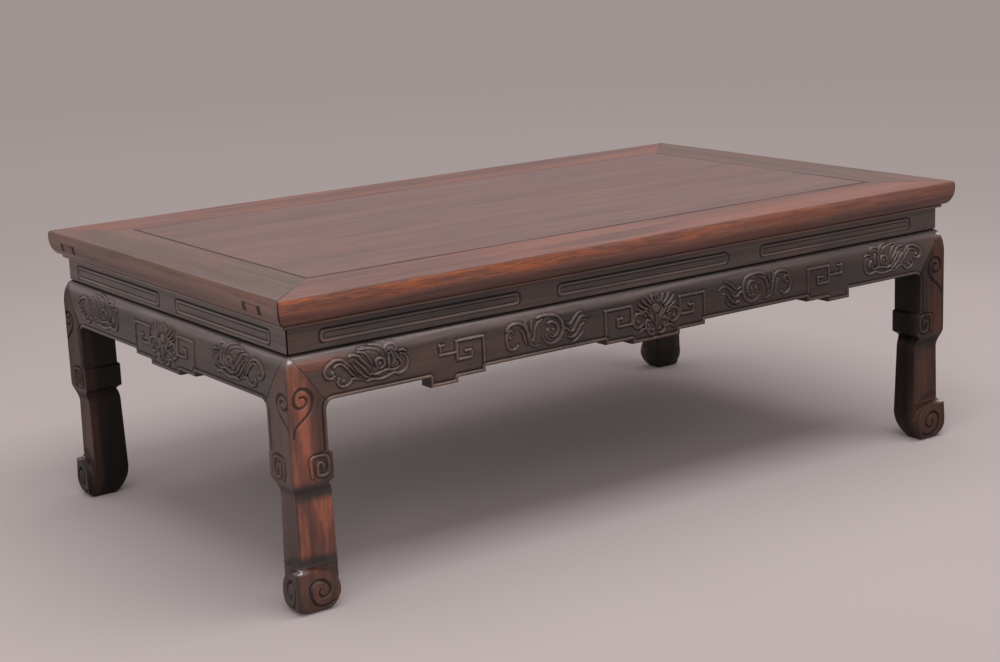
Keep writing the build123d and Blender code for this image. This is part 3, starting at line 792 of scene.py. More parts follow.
# Heights, and the radius of the leg's outer corner at each
ARRIS_RADIUS = ((0, 5, 16, 44, 48, 60, 112, 130, 236), (9.0, 7.0, 4.0, 3.4, 2.6, 2.4, 2.4, 1.6, 1.6))
FOOT_NARROWING = 0.72    # the scrolls on the short sides are this much slimmer
MOTIF_SHIFT = 6.0        # and the motifs above them this much nearer the corner
COMMA_FOOT = 199.0       # above here the comma is lower on the short sides
VOLUTE_EDGE = [(6.0, 43.0), (16, 42.6), (24, 42.4), (31, 40.6), (41, 37.6), (47.5, 33), (50.3, 26),
               (50.8, 17), (48.5, 9), (43, 2.5)]
VOLUTE_GROOVE = [(44, 9.6), (39.8, 7.4), (32.8, 6.2), (28.1, 7), (23, 10.4), (19.9, 14.8), (18.3, 19.5),
                 (18, 25.9), (20.6, 30), (24.6, 32.4), (29.9, 32.4), (35.2, 29.7), (38.3, 25.5), (38.6, 20.4),
                 (36.4, 16.8), (32.5, 15.6), (28.6, 17.2), (27.4, 20.6), (29.4, 23.6)]
KEY_CURL = [(29.6, 131.8), (28.8, 141), (29.4, 149.6), (36, 151.4), (44.6, 150.6), (47.2, 146),
            (47.4, 137), (45.4, 132.6), (40, 132), (36, 133.2), (35.2, 138), (35.8, 143), (39, 144.8),
            (41.6, 142.4), (41, 139)]
COMMA_GROOVE = [(12.4, 172), (15, 180.6), (21, 186.4), (27, 191), (32.4, 197), (34.4, 204), (33, 211.4),
                (28.6, 216), (23.6, 217.6), (18.6, 216), (15.4, 211.4), (14.8, 205.4), (17.4, 201),
                (22, 199.6), (26.6, 202), (28, 206.6), (25.4, 210), (21.4, 209.6)]


def carve_leg(s, z, narrowing):
    """Relief of a leg's outer face at distance s from the corner, the shade painted on it, and how far each
    point is beyond the foot's scroll. narrowing is how slim that scroll is; where it is slim the motifs above
    also stand nearer the corner, and the upper one is lower."""
    slim = narrowing < 1
    across = np.where(z < FOOT_TOP, s / narrowing, s + MOTIF_SHIFT * slim)
    up = np.where(slim & (z > COMMA_FOOT), COMMA_FOOT + (z - COMMA_FOOT) / 0.8, z)
    carving = Carving(across, up)
    carving.groove(smooth_path(COMMA_GROOVE), 2.1, 1.9, taper=(0.3, 0.6))
    carving.stroke(smooth_path(KEY_CURL), 1.6, 0.9, 1.5, taper=(0.9, 0.8), flat=2.4, margin=3.0, tail=1.0)
    carving.groove(smooth_path(VOLUTE_GROOVE), 1.9, 2.0, taper=(0.4, 0.7))
    height = carving.height()
    corner = arc((LEG_INNER + CORNER_RADIUS, APRON_BOTTOM - CORNER_RADIUS), CORNER_RADIUS, 90, 180)
    gap = path_distance(s, z, np.vstack([corner, [(LEG_INNER, BLOCK_TOP)]]))[0]
    gap = np.where(z > BLOCK_TOP + 0.5, gap, FAR)
    height = add_edge_bead(height, gap)
    limit_path = smooth_path(VOLUTE_EDGE)
    limit = np.interp(z, limit_path[::-1, 1], limit_path[::-1, 0]) * narrowing
    shaft = np.clip(SHAFT_INSET - np.interp(z, OUTER_Z, OUTER_INSET), 0, None)
    beyond = smoothstep(s - limit, -0.6, 1.4) * smoothstep(z, 2.0, 9.0) * (z < FOOT_TOP)
    height = height - shaft * beyond
    height = height - MITRE_DEPTH * bell(mitre_gap(s, z), MITRE_LINE) * (z > JOINT_FOOT)
    lip = bell(z - FOOT_TOP + 2.4, 1.0) * fade(s, 22 * narrowing, 30 * narrowing)
    height = height + lip * (1 - beyond)
    # Painted shade in the notch, under the curl's top bar and over the crest of the foot
    relief_paint = -0.55 * bell(z - 119.5, 5.5)
    relief_paint = relief_paint - 0.6 * np.exp(-((across - 38.5) / 6.0) ** 4 - ((z - 153.5) / 2.6) ** 4)
    crest = narrowing * np.interp(s / narrowing, (0, 10, 24, 38, 52), (0, 0.5, 2.5, 0, -9))
    relief_paint = relief_paint - 0.55 * bell(z - crest - FOOT_TOP - 5.0, 5.0) * fade(s, 34, 52)
    return height * smoothstep(APRON_TOP - z, 0, 3), relief_paint, beyond


def leg_warmth(s, z):
    """How orange a front face is: a streak bared by rubbing beside the arris above, blotches below, a dark
    foot.
    """
    streak = bell(s - 19, 14.0) * smoothstep(z, 121, 130) * (1 - 0.2 * smoothstep(z, 215, 240))
    shaft = 0.75 * smoothstep(z, FOOT_TOP + 2, FOOT_TOP + 12) * fade(z, 104, 114)
    foot = 0.3 * (z < FOOT_TOP)
    return np.maximum(np.maximum(streak, shaft), foot)


def make_leg():
    """The front left leg, drawn as (inset from the left, inset from the front, z)."""
    rows = leg_rows()
    across = int((LEG_INNER - FACE_INSET) / LATTICE)
    turn = np.linspace(0, math.pi / 2, 9)[1:-1]
    rings = []
    for z in rows:
        outer = float(np.interp(z, OUTER_Z, OUTER_INSET))
        reach_p = leg_reach(z, LONG_PROFILE)
        reach_q = leg_reach(z, SHORT_PROFILE)
        radius = np.interp(z, *ARRIS_RADIUS)
        flat = np.full(across, outer)
        arris = outer + radius
        p = np.concatenate([np.linspace(reach_p, arris, across), outer + radius * (1 - np.sin(turn)), flat])
        q = np.concatenate([flat, outer + radius * (1 - np.cos(turn)), np.linspace(arris, reach_q, across)])
        upper = z > APRON_BOTTOM - CORNER_RADIUS
        core_p, core_q = (LEG_INNER, LEG_INNER) if upper else (reach_p, reach_q)
        soft = WORN_BLOCK if BLOCK_BOTTOM - 3 < z < BLOCK_TOP + 0.01 else WORN_INSIDE
        inner = [(min(POST_INSET, reach_p), reach_q), (POST_INSET, core_q)]
        inner += [(core_p - soft * (1 - math.sin(angle)), core_q - soft * (1 - math.cos(angle)))
                  for angle in np.linspace(0, math.pi / 2, 6)]
        inner += [(core_p, POST_INSET), (reach_p, min(POST_INSET, reach_q))]
        rings.append((p, q, [point[0] for point in inner], [point[1] for point in inner]))
    p, q, inner_p, inner_q = (np.array(part) for part in zip(*rings))
    z = np.repeat(rows[:, None], p.shape[1], 1)
    zeros, ones = np.zeros(across), np.ones(across)
    normal_p = np.concatenate([zeros, -np.sin(turn), -ones])
    normal_q = np.concatenate([-ones, -np.cos(turn), zeros])
    number = np.arange(p.shape[1])
    from_corner = np.where(number < across, p, np.where(number >= p.shape[1] - across, q, np.maximum(p, q)))
    outer_inset = np.interp(z, OUTER_Z, OUTER_INSET)
    narrowing = np.where(number < across + len(turn) / 2, 1.0, FOOT_NARROWING)
    narrowing = np.broadcast_to(narrowing, z.shape)
    height, relief_paint, beyond = carve_leg(from_corner.ravel(), z.ravel(), narrowing.ravel())
    height, relief_paint, beyond = (value.reshape(z.shape) for value in (height, relief_paint, beyond))
    on_front = smoothstep(-number, -across - 5.0, -across + 2.0)
    warm = leg_warmth(from_corner, z) * (0.15 + 0.85 * on_front)
    p = np.concatenate([p + normal_p * height, inner_p], 1)
    q = np.concatenate([q + normal_q * height, inner_q], 1)
    pad = np.zeros(inner_p.shape)
    # Painted highlights: a line on the foot's lip, a glint at the shoulder's corner, sheen on the shoulder
    lip_light = 1.5 * bell(z - FOOT_TOP + 2.6, 1.7) * fade(from_corner, 12, 24)
    glint = 1.5 * bell(z - APRON_TOP + 4.6, 3.4) * fade(from_corner - outer_inset, 3.0, 15.0)
    glint = glint * (0.45 + 0.55 * on_front)
    bloom = np.maximum(np.maximum((0.5 + 0.5 * on_front) * shoulder_bloom(z), glint), lip_light)
    relief = np.where(beyond > 0.02, np.maximum(height, -0.25), np.maximum(height, -0.65))
    # The painted shade deepens the dark of the hollows
    relief = np.minimum(relief, relief_paint + np.maximum(relief, 0))
    shape = Shape()
    shade = np.broadcast_to(0.3 * (1 - on_front), z.shape)
    # The inner faces are marked for painted shade
    painted = {"relief": relief, "warm": warm, "bloom": bloom, "shade": shade, "inner": np.zeros(z.shape)}
    painted = {name: np.concatenate([value, pad + (name == "inner")], 1) for name, value in painted.items()}
    shape.lattice(p, q, np.repeat(rows[:, None], p.shape[1], 1), wrap=True, **painted)
    return shape


# ---- Turning shapes into objects

def place_front(points):
    """(along, inset, z) to the table's own axes, on the front side."""
    return points + (0.0, -WIDTH / 2, 0.0)


def place_left(points):
    """The same on the left side."""
    return points[:, [1, 0, 2]] + (-LENGTH / 2, 0.0, 0.0)


def place_corner(points):
    """(inset from the left, inset from the front, z) to the table's own axes."""
    return points + (-LENGTH / 2, -WIDTH / 2, 0.0)


# Values painted on the points. They paint shade in hollows, on inner faces and in shaded places, and
# highlights and sheen on ridges, beads and shoulders, besides soiling, rubbing and warm colour.
PAINTED = ("relief", "edge", "warm", "inner", "shade", "bloom")


def to_bmesh(shape, place):
    """The shape's welded faces, with its painted values on their points."""
    points = place(np.vstack(shape.points))
    mesh = bpy.data.meshes.new("draft")
    mesh.from_pydata(points.tolist(), [], np.vstack(shape.faces).tolist() + shape.caps)
    for name in PAINTED:
        values = np.zeros(len(points))
        for start, part in shape.values.get(name, ()):
            values[start:start + len(part)] = part
        mesh.attributes.new(name, "FLOAT", "POINT").data.foreach_set("value", values)
    bm = bmesh.new()
    bm.from_mesh(mesh)
    bpy.data.meshes.remove(mesh)
    bmesh.ops.triangulate(bm, faces=[face for face in bm.faces if len(face.verts) > 4])
    bmesh.ops.remove_doubles(bm, verts=bm.verts, dist=WELD)
    return bm


def close_back(bm, place_back):
    """Extrudes the open border, moves it with place_back and closes it there."""
    border = [edge for edge in bm.edges if edge.is_boundary]
    made = bmesh.ops.extrude_edge_only(bm, edges=border)["geom"]
    for vert in made:
        if isinstance(vert, bmesh.types.BMVert):
            place_back(vert.co)
    edges = [edge for edge in made if isinstance(edge, bmesh.types.BMEdge) and edge.is_boundary]
    faces = bmesh.ops.holes_fill(bm, edges=edges, sides=0)["faces"]
    bmesh.ops.triangulate(bm, faces=faces)
    bmesh.ops.dissolve_degenerate(bm, edges=bm.edges, dist=WELD)


def straight_back(kind, inset, end_gap=0.0):
    """A place_back for the boards of a side: to this inset, and no nearer to the corner than that."""
    along_axis, inset_axis, edge = (0, 1, -WIDTH / 2) if kind["side"] == "front" else (1, 0, -LENGTH / 2)
    limit = kind["half"] - inset - end_gap

    def move(co):
        co[inset_axis] = edge + inset
        co[along_axis] = max(-limit, min(limit, co[along_axis]))
    return move


SOFT_EDGE = 50.0     # degrees from which an edge is drawn sharp
SHARP_EDGE = 30.0    # the same on the tenon ends and wedges


def add_piece(name, bm, material, node, sharp=SOFT_EDGE):
    """A smooth-shaded piece in metres from a bmesh in millimetres, in place of its node's construction part.
    """
    bmesh.ops.recalc_face_normals(bm, faces=bm.faces)
    limit = math.radians(sharp)
    for edge in bm.edges:
        if len(edge.link_faces) == 2 and edge.calc_face_angle(0.0) > limit:
            edge.smooth = False
    for face in bm.faces:
        face.smooth = True
    bm.transform(Matrix.Scale(MM, 4))
    mesh = bpy.data.meshes.new(name)
    bm.to_mesh(mesh)
    bm.free()
    mesh.materials.append(material)
    return declare(bpy.data.objects.new(name, mesh), node)


def declare(piece, node):
    """Links the piece into the scene under the root and hides the construction part it stands for."""
    bpy.context.collection.objects.link(piece)
    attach(piece, "root")
    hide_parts(node)
    return piece


def mirror(mesh, flip):
    """Mirrors a mesh about the table's middle planes: flip says whether in x and whether in y."""
    mesh.transform(Matrix.Diagonal((-1 if flip[0] else 1, -1 if flip[1] else 1, 1, 1)))
    if flip[0] != flip[1]:
        mesh.flip_normals()


def add_mirrored(piece, name, flip, node):
    """A mirrored copy of a piece."""
    mesh = piece.data.copy()
    mesh.name = name
    mirror(mesh, flip)
    return declare(bpy.data.objects.new(name, mesh), node)


def add_pair(kind, name, bm, material, node):
    """A piece of the front or the left side, and its mirror image on the side across."""
    near, far = kind["names"]
    piece = add_piece(f"{name}_{near}", bm, material, f"{node}_{near}")
    add_mirrored(piece, f"{name}_{far}", kind["flip"], f"{node}_{far}")


# ---- Materials

class Nodes:
    """A small wrapper for building a node tree."""

    def __init__(self, name):
        self.material = bpy.data.materials.new(name)
        self.material.use_nodes = True
        self.tree = self.material.node_tree
        self.tree.nodes.clear()

    def put(self, socket, value):
        """A link or a constant."""
        if isinstance(value, bpy.types.NodeSocket):
            self.tree.links.new(value, socket)
        else:
            socket.default_value = value

    def add(self, kind, settings=None, **inputs):
        """A node; inputs are named after its sockets, with _ for a space."""
        node = self.tree.nodes.new(kind)
        for key, value in (settings or {}).items():
            setattr(node, key, value)
        for key, value in inputs.items():
            self.put(node.inputs[key.replace("_", " ")], value)
        return node

    def math(self, operation, a, b=0.0):
        """A Math node's result."""
        node = self.add("ShaderNodeMath", {"operation": operation})
        self.put(node.inputs[0], a)
        self.put(node.inputs[1], b)
        return node.outputs[0]

    def times(self, a, b):
        """A product."""
        return self.math("MULTIPLY", a, b)

    def mix(self, factor, a, b, blend="MIX"):
        """A colour mix."""
        node = self.add("ShaderNodeMix", {"data_type": "RGBA", "blend_type": blend})
        for number, value in ((0, factor), (6, a), (7, b)):
            self.put(node.inputs[number], value)
        return node.outputs[2]

    def ramp(self, value, low, high, to_low, to_high):
        """A value taken smoothly from one range to another."""
        return self.add("ShaderNodeMapRange", {"interpolation_type": "SMOOTHSTEP"}, Value=value, From_Min=low,
                        From_Max=high, To_Min=to_low, To_Max=to_high).outputs[0]

    def noise(self, vector, scale, detail=4.0, roughness=0.55):
        """A noise value."""
        return self.add("ShaderNodeTexNoise", Vector=vector, Scale=scale, Detail=detail,
                        Roughness=roughness).outputs["Fac"]

    def grain(self, vector, axis, scales, detail, roughness):
        """A noise value with one scale along the grain and another across it."""
        scale = [scales[1]] * 3
        scale["XYZ".index(axis)] = scales[0]
        stretched = self.add("ShaderNodeMapping", Vector=vector, Scale=scale).outputs[0]
        return self.noise(stretched, 1.0, detail, roughness)

    def painted(self, name):
        """A value painted on the mesh."""
        return self.add("ShaderNodeAttribute", {"attribute_name": name}).outputs["Fac"]

    def total(self, *terms):
        """Sum of (value, weight) pairs."""
        result = None
        for value, weight in terms:
            part = self.times(value, weight)
            result = part if result is None else self.math("ADD", result, part)
        return result


def srgb(r, g, b):
    """A colour written in 0 to 255 screen values."""
    values = [c / 255 for c in (r, g, b)]
    return tuple(c / 12.92 if c <= 0.04045 else ((c + 0.055) / 1.055) ** 2.4 for c in values) + (1.0,)


# Scales of the wood's noises along and across the grain, per metre
BANDS = (2.2, 34.0)
STREAKS = (7.0, 210.0)
PORES = (70.0, 1500.0)
BLOTCHES = (14.0, 55.0)
DASHES = (45.0, 800.0)

BLACK = (0.0, 0.0, 0.0, 1.0)
# Soiling and painted shade in the hollows
HOLLOW_BLACK = srgb(17, 14, 14)
# Polish and painted highlights on the ridges
RIDGE_GREY = srgb(122, 100, 94)
# Rubbing and painted highlights on the beads
WORN_AND_LIT_BROWN = srgb(160, 112, 82)
# Painted shade on faces turned from the light
INNER_SHADE_BLACK = srgb(17, 15, 15)
# Painted sheen where light catches shoulders, beads and mouldings
SHEEN_GREY = srgb(140, 125, 122)
# Painted glint where that sheen is strongest
GLINT_GREY = srgb(222, 216, 214)
RIM_BLACK = srgb(20, 15, 14)
RIM_WIDTH = 0.0009    # metres


def wood(name, axis, palette, contrast=1.0, rough=0.36, coat=0.2, depth=0.00025, fineness=0.55, border=None,
         dashes=0.4, gloss=0.5, flush=1.0):
    """Old waxed hardwood: streaked grain, pores, soiling and painted shade in the hollows, polish and painted
    highlights on the ridges, rubbing and painted highlights on the beads, painted shade, sheen and glints.

    palette is its dark, middle and warm colour, and axis the way its grain runs. fineness is the share of
    fine streaks in the grain, and flush how much warm colour it has where none is painted. border gives the
    half sizes of a panel whose rim is black with old wax, dashes the depth of the dark marks in the warm
    wood, and depth that of the bumps in metres.
    """
    dark, middle, warm = (srgb(*colour) for colour in palette)
    n = Nodes(name)
    place = n.add("ShaderNodeTexCoord").outputs["Object"]
    wander = n.add("ShaderNodeTexNoise", Vector=place, Scale=5.0, Detail=2.0).outputs["Color"]
    wander = n.add("ShaderNodeVectorMath", {"operation": "SCALE"}, Vector=wander, Scale=0.012).outputs[0]
    bent = n.add("ShaderNodeVectorMath", {"operation": "ADD"})
    for number, value in enumerate((place, wander)):
        n.put(bent.inputs[number], value)
    bent = bent.outputs[0]
    band = n.grain(bent, axis, BANDS, 3.0, 0.5)
    streak = n.grain(bent, axis, STREAKS, 5.0, 0.62)
    pore = n.grain(place, axis, PORES, 2.0, 0.6)
    cloud = n.noise(place, 8.0, 4.0, 0.6)
    speck = n.noise(place, 260.0, 3.0, 0.65)
    grain = n.total((band, 1 - fineness), (streak, fineness))
    spread = 0.16 / contrast
    base = n.mix(n.ramp(grain, 0.5 - spread, 0.5 + spread, 0.0, 1.0), dark, middle)
    redness = n.total((n.ramp(cloud, 0.40, 0.70, 0.0, 1.0), 0.16 * flush),
                      (n.ramp(band, 0.45, 0.65, 0.0, 1.0), 0.12 * flush))
    blotch = n.ramp(n.grain(place, axis, BLOTCHES, 3.0, 0.6), 0.36, 0.62, 0.35, 1.0)
    patchy = n.times(blotch, n.ramp(streak, 0.36, 0.6, 0.6, 1.0))
    painted_warm = n.times(n.painted("warm"), patchy)
    base = n.mix(n.math("MAXIMUM", redness, painted_warm), base, warm)
    dash = n.ramp(n.grain(place, axis, DASHES, 2.0, 0.6), 0.48, 0.62, 0.0, dashes)
    base = n.mix(n.times(dash, n.math("ADD", n.painted("warm"), 0.3)), base, dark)
    black = tuple(0.22 * c for c in dark[:3]) + (1.0,)
    base = n.mix(n.ramp(pore, 0.60, 0.76, 0.0, 0.55 * contrast), base, black)
    relief = n.painted("relief")
    # Hollows darkened with soiling and painted shade, ridges lightened with polish and painted highlights
    hollow = n.ramp(relief, -0.95, -0.02, 0.88, 0.0)
    base = n.mix(hollow, base, HOLLOW_BLACK)
    ridge = n.times(n.ramp(relief, 0.3, 1.15, 0.0, 0.6), n.ramp(speck, 0.38, 0.62, 0.4, 1.0))
    base = n.mix(ridge, base, RIDGE_GREY)
    # Rubbing and painted highlights on the beads
    bead_wear_and_light = n.times(n.painted("edge"), n.ramp(cloud, 0.40, 0.62, 0.25, 1.0))
    base = n.mix(bead_wear_and_light, base, WORN_AND_LIT_BROWN)
    # Painted shade on the legs' inner faces
    base = n.mix(n.times(n.painted("inner"), 0.88), base, INNER_SHADE_BLACK)
    base = n.mix(n.times(n.painted("shade"), 0.46), base, BLACK)
    # Painted sheen, and a painted glint where it is painted strongest
    bloom = n.times(n.painted("bloom"), n.ramp(streak, 0.36, 0.6, 0.45, 0.8))
    base = n.mix(bloom, base, SHEEN_GREY)
    base = n.mix(n.ramp(n.painted("bloom"), 1.0, 1.6, 0.0, 0.9), base, GLINT_GREY)
    if border:
        split = n.add("ShaderNodeSeparateXYZ", Vector=place)
        gaps = [n.math("SUBTRACT", half * MM, n.math("ABSOLUTE", split.outputs[number]))
                for number, half in enumerate(border)]
        rim = n.ramp(n.math("MINIMUM", *gaps), 0.0, RIM_WIDTH, 0.9, 0.0)
        base = n.mix(rim, base, RIM_BLACK)
    shine = n.total((streak, 0.10), (cloud, 0.16), (pore, 0.10), (hollow, 0.34), (speck, 0.05))
    polish = n.total((ridge, 0.16), (bloom, 0.2))
    shine = n.math("SUBTRACT", n.math("ADD", shine, rough - 0.18), polish)
    height = n.total((pore, -0.5), (streak, 0.35), (speck, 0.2))
    bump = n.add("ShaderNodeBump", Strength=0.5, Distance=depth, Height=height).outputs[0]
    wax = n.ramp(n.painted("shade"), 0.0, 1.0, coat, 0.0)
    shader = n.add("ShaderNodeBsdfPrincipled", Base_Color=base, Roughness=shine, Normal=bump,
                   Specular_IOR_Level=gloss, Coat_Weight=wax, Coat_Roughness=0.22)
    n.add("ShaderNodeOutputMaterial", Surface=shader.outputs[0])
    return n.material


# Dark, middle and warm colour of each wood, in screen values
FRONT_PALETTE = ((36, 31, 30), (70, 59, 55), (146, 80, 50))
# A lit copy of the apron wood for the short sides: painted light
LIT_SIDE_PALETTE = ((40, 36, 35), (77, 67, 65), (128, 84, 64))
LEG_PALETTE = ((38, 33, 32), (69, 58, 54), (176, 98, 70))
WAIST_PALETTE = ((42, 36, 35), (80, 68, 64), (124, 80, 60))
# A lit copy of the waist wood for the short sides: painted light
LIT_SHORT_WAIST_PALETTE = ((56, 50, 49), (100, 88, 85), (124, 96, 82))
PANEL_PALETTE = ((92, 63, 58), (117, 83, 77), (132, 84, 72))
RAIL_PALETTE = ((88, 56, 49), (124, 84, 75), (170, 90, 48))
SHORT_RAIL_PALETTE = ((76, 56, 51), (108, 81, 73), (146, 86, 56))
END_PALETTE = ((34, 23, 21), (56, 37, 32), (70, 44, 36))
HIDDEN_PALETTE = ((24, 20, 19), (46, 38, 36), (56, 40, 34))
PANEL_HALF = (LENGTH / 2 - RAIL_WIDTH - PANEL_GAP, WIDTH / 2 - RAIL_WIDTH - PANEL_GAP)
MATERIALS = {
    "front": wood("rosewood_front", "X", FRONT_PALETTE, flush=0.5),
    # The short sides' apron and waist get lit copies of the wood
    "left": wood("rosewood_side_lit", "Y", LIT_SIDE_PALETTE),
    "leg": wood("rosewood_leg", "Z", LEG_PALETTE, fineness=0.4, dashes=0.22),
    # A shaded copy of the leg wood, with less gloss and coat, for the legs in more shade
    "leg_shaded": wood("rosewood_leg_shaded", "Z", LEG_PALETTE, coat=0.05, fineness=0.4, dashes=0.22, gloss=0.22),
    "waist_front": wood("rosewood_waist_front", "X", WAIST_PALETTE),
    "waist_left": wood("rosewood_waist_side_lit", "Y", LIT_SHORT_WAIST_PALETTE),
    "rail": wood("rosewood_rail", "X", RAIL_PALETTE, 1.1, 0.46, 0.06, 0.00012, 0.7, dashes=0.62),
    "rail_short": wood("rosewood_rail_short", "Y", SHORT_RAIL_PALETTE, 1.0, 0.44, 0.08, 0.00012, 0.6),
    "panel": wood("rosewood_panel", "X", PANEL_PALETTE, 1.2, 0.42, 0.10, 0.00012, 0.8, PANEL_HALF),
    "end_grain": wood("rosewood_end_grain", "X", END_PALETTE, 1.2, 0.5, 0.0, 0.0003),
    "hidden": wood("rosewood_under", "Y", HIDDEN_PALETTE, 0.8, 0.6, 0.0, 0.0003),
}


# ---- Building the pieces

# What differs between the long and the short sides. box is the height of the cartouches' middle and half
# their own height, corner their corners' radius. pale says how strong the painted sheen on the waist's beads
# is, and ends_warm how red the apron's left and right shoulders are. The other pairs list places along the
# side, from -1 to 1, and a strength at each: rubbing and a painted highlight on the waist's lower beads and
# on the apron's bead, painted shade on the apron and painted sheen on its shoulder.
LONG_SIDE = {
    "side": "front", "names": ("front", "back"), "flip": (False, True), "half": LENGTH / 2,
    "place": place_front, "steps": LONG_STEPS, "carve": carve_long,
    "cartouches": LONG_CARTOUCHES, "box": (261.6, 6.9), "corner": 5.6, "pale": 0.3,
    "waist_bead_wear_and_light": ((-1, -0.4, 0.2, 1), (0.6, 0.5, 0.45, 0.15)),
    "apron_bead_wear_and_highlight": ((-1, 0, 1), (0.4, 0.3, 0.12)),
    "shade": ((-1, -0.6, -0.25, 0.1, 0.5, 0.75, 1), (0, 0, 0.6, 0.95, 0.9, 0.2, 0.2)),
    "bloom": ((-1, -0.8, -0.6, 0, 1), (1.1, 0.8, 0.8, 0.65, 0.4)),
    "ends_warm": (1.0, 0.6),
}
SHORT_SIDE = {
    "side": "left", "names": ("left", "right"), "flip": (True, False), "half": WIDTH / 2,
    "place": place_left, "steps": SHORT_STEPS, "carve": carve_short,
    "cartouches": SHORT_CARTOUCHES, "box": (261.0, 7.6), "corner": 4.6, "pale": 0.6,
    "waist_bead_wear_and_light": ((-1, -0.9, -0.3, 0, 0.2, 0.6, 1), (0.2, 0.3, 0.9, 0.5, 0.3, 0.7, 0.4)),
    "apron_bead_wear_and_highlight": ((-1, 1), (0.12, 0.12)),
    "shade": ((-1, 1), (0.1, 0.1)),
    "bloom": ((-1, 1), (0.95, 0.95)),
    "ends_warm": (0.1, 0.1),
}

# The corners beside the front left one, and whether a piece there is mirrored in x and in y from it
CORNERS = {"front_right": (True, False), "back_left": (False, True), "back_right": (True, True)}

# The share of the front left leg's warm colour that the leg there has, and its shade
LEG_TONES = {"front_right": (0.3, 0.8), "back_left": (0.1, 0.7), "back_right": (0.5, 0.15)}


def build_aprons():
    """Four carved aprons."""
    for kind in (LONG_SIDE, SHORT_SIDE):
        bm = to_bmesh(make_apron(kind), kind["place"])
        close_back(bm, straight_back(kind, POST_INSET))
        add_pair(kind, "carved_apron", bm, MATERIALS[kind["side"]], "apron")


def build_waist():
    """Four waist boards."""
    for kind in (LONG_SIDE, SHORT_SIDE):
        bm = to_bmesh(make_waist(kind), kind["place"])
        close_back(bm, straight_back(kind, WAIST_BACK, WAIST_END_GAP))
        add_pair(kind, "lined_waist", bm, MATERIALS[f"waist_{kind['side']}"], "waist")


def build_legs():
    """Four legs with their scroll feet. The mirrored ones are less warm and more in shade, though less so on
    their inner faces."""
    bm = to_bmesh(make_leg(), place_corner)
    piece = add_piece("carved_leg_front_left", bm, MATERIALS["leg"], "leg_front_left")
    for corner, flip in CORNERS.items():
        warmth, shade = LEG_TONES[corner]
        copy = add_mirrored(piece, f"carved_leg_{corner}", flip, f"leg_{corner}")
        # These legs get the shaded copy of the leg wood
        copy.data.materials[0] = MATERIALS["leg_shaded"]
        attributes = copy.data.attributes
        for item in attributes["warm"].data:
            item.value *= warmth
        for item, hidden in zip(attributes["shade"].data, attributes["inner"].data):
            item.value = shade * (1 - 0.6 * hidden.value)


LONG_WARMTH = ((-1, 0, 0.6, 1), (1.0, 0.8, 0.55, 0.2))
SHORT_WARMTH = ((-1, -0.8, 0, 1), (0.2, 0.5, 0.4, 0.2))


def build_rails():
    """The four rails of the top, and the pockets of the short ones, which narrow towards their bottom."""
    long_rail = to_bmesh(make_rail(LENGTH / 2, False, 1.0, LONG_WARMTH, 0.42), place_front)
    add_pair(LONG_SIDE, "moulded_rail", long_rail, MATERIALS["rail"], "rail")
    half = WIDTH / 2
    short_rail = to_bmesh(make_rail(half, True, 4.0, SHORT_WARMTH, 0.15), place_left)
    tenon_half = (TENON_END - TENON_START) / 2
    taper = (tenon_half + WEDGE_TIP_WIDTH) / (tenon_half + WEDGE_WIDTH)
    middle = half - (TENON_START + TENON_END) / 2

    def narrow(co):
        side = math.copysign(1.0, co[1])
        co[1] = side * (middle + (abs(co[1]) - middle) * taper)
        co[0] = -LENGTH / 2 + WEDGE_LENGTH
    close_back(short_rail, narrow)
    add_pair(SHORT_SIDE, "moulded_rail", short_rail, MATERIALS["rail_short"], "rail")


def build_plugs():
    """Tenon ends and wedges in the pockets of the short rails, each drawn at the back left corner."""
    half = WIDTH / 2

    def straight(co):
        co[0] = -LENGTH / 2 + WEDGE_LENGTH - PLUG_SHORT

    def tapered(start, end):
        outer, inner = (end, start) if start > TENON_START else (start, end)

        def move(co):
            gap = abs(half - abs(co[1]) - inner) * WEDGE_TIP_WIDTH / WEDGE_WIDTH
            co[1] = math.copysign(half - inner - math.copysign(gap, outer - inner), co[1])
            co[0] = -LENGTH / 2 + WEDGE_LENGTH - PLUG_SHORT
        return move

    bm = to_bmesh(make_plug(half, TENON_START, TENON_END, TENON_SUNK), place_left)
    close_back(bm, straight)
    piece = add_piece("tenon_end_back_left", bm, MATERIALS["rail_short"], "rail_back",
                      SHARP_EDGE)
    add_mirrored(piece, "tenon_end_back_right", (True, False), "rail_back")
    add_mirrored(piece, "tenon_end_front_left", (False, True), "rail_front")
    add_mirrored(piece, "tenon_end_front_right", (True, True), "rail_front")
    for name, start, end, missing in (("wedge_outer", TENON_START - WEDGE_WIDTH, TENON_START, "back_left"),
                                      ("wedge_inner", TENON_END, TENON_END + WEDGE_WIDTH, None)):
        bm = to_bmesh(make_plug(half, start, end, WEDGE_SUNK), place_left)
        close_back(bm, tapered(start, end))
        piece = add_piece(f"{name}_front_left", bm, MATERIALS["end_grain"], "tenon_wedges",
                          SHARP_EDGE)
        mirror(piece.data, (False, True))
        for corner, flip in CORNERS.items():
            if corner != missing:
                add_mirrored(piece, f"{name}_{corner}", flip, "tenon_wedges")


build_aprons()
build_waist()
build_legs()
build_rails()
build_plugs()

# The remaining construction pieces keep their shape and get their own finish
for node in ("top_panel", "brace_1", "brace_2", "brace_3"):
    finish = MATERIALS["panel" if node == "top_panel" else "hidden"]
    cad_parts[node].material_slots[0].material = finish


# ---- Stage, light and camera

FLOOR = srgb(182, 172, 171)
BACKDROP = srgb(158, 148, 146)
BACKDROP_NEAR = srgb(166, 155, 153)


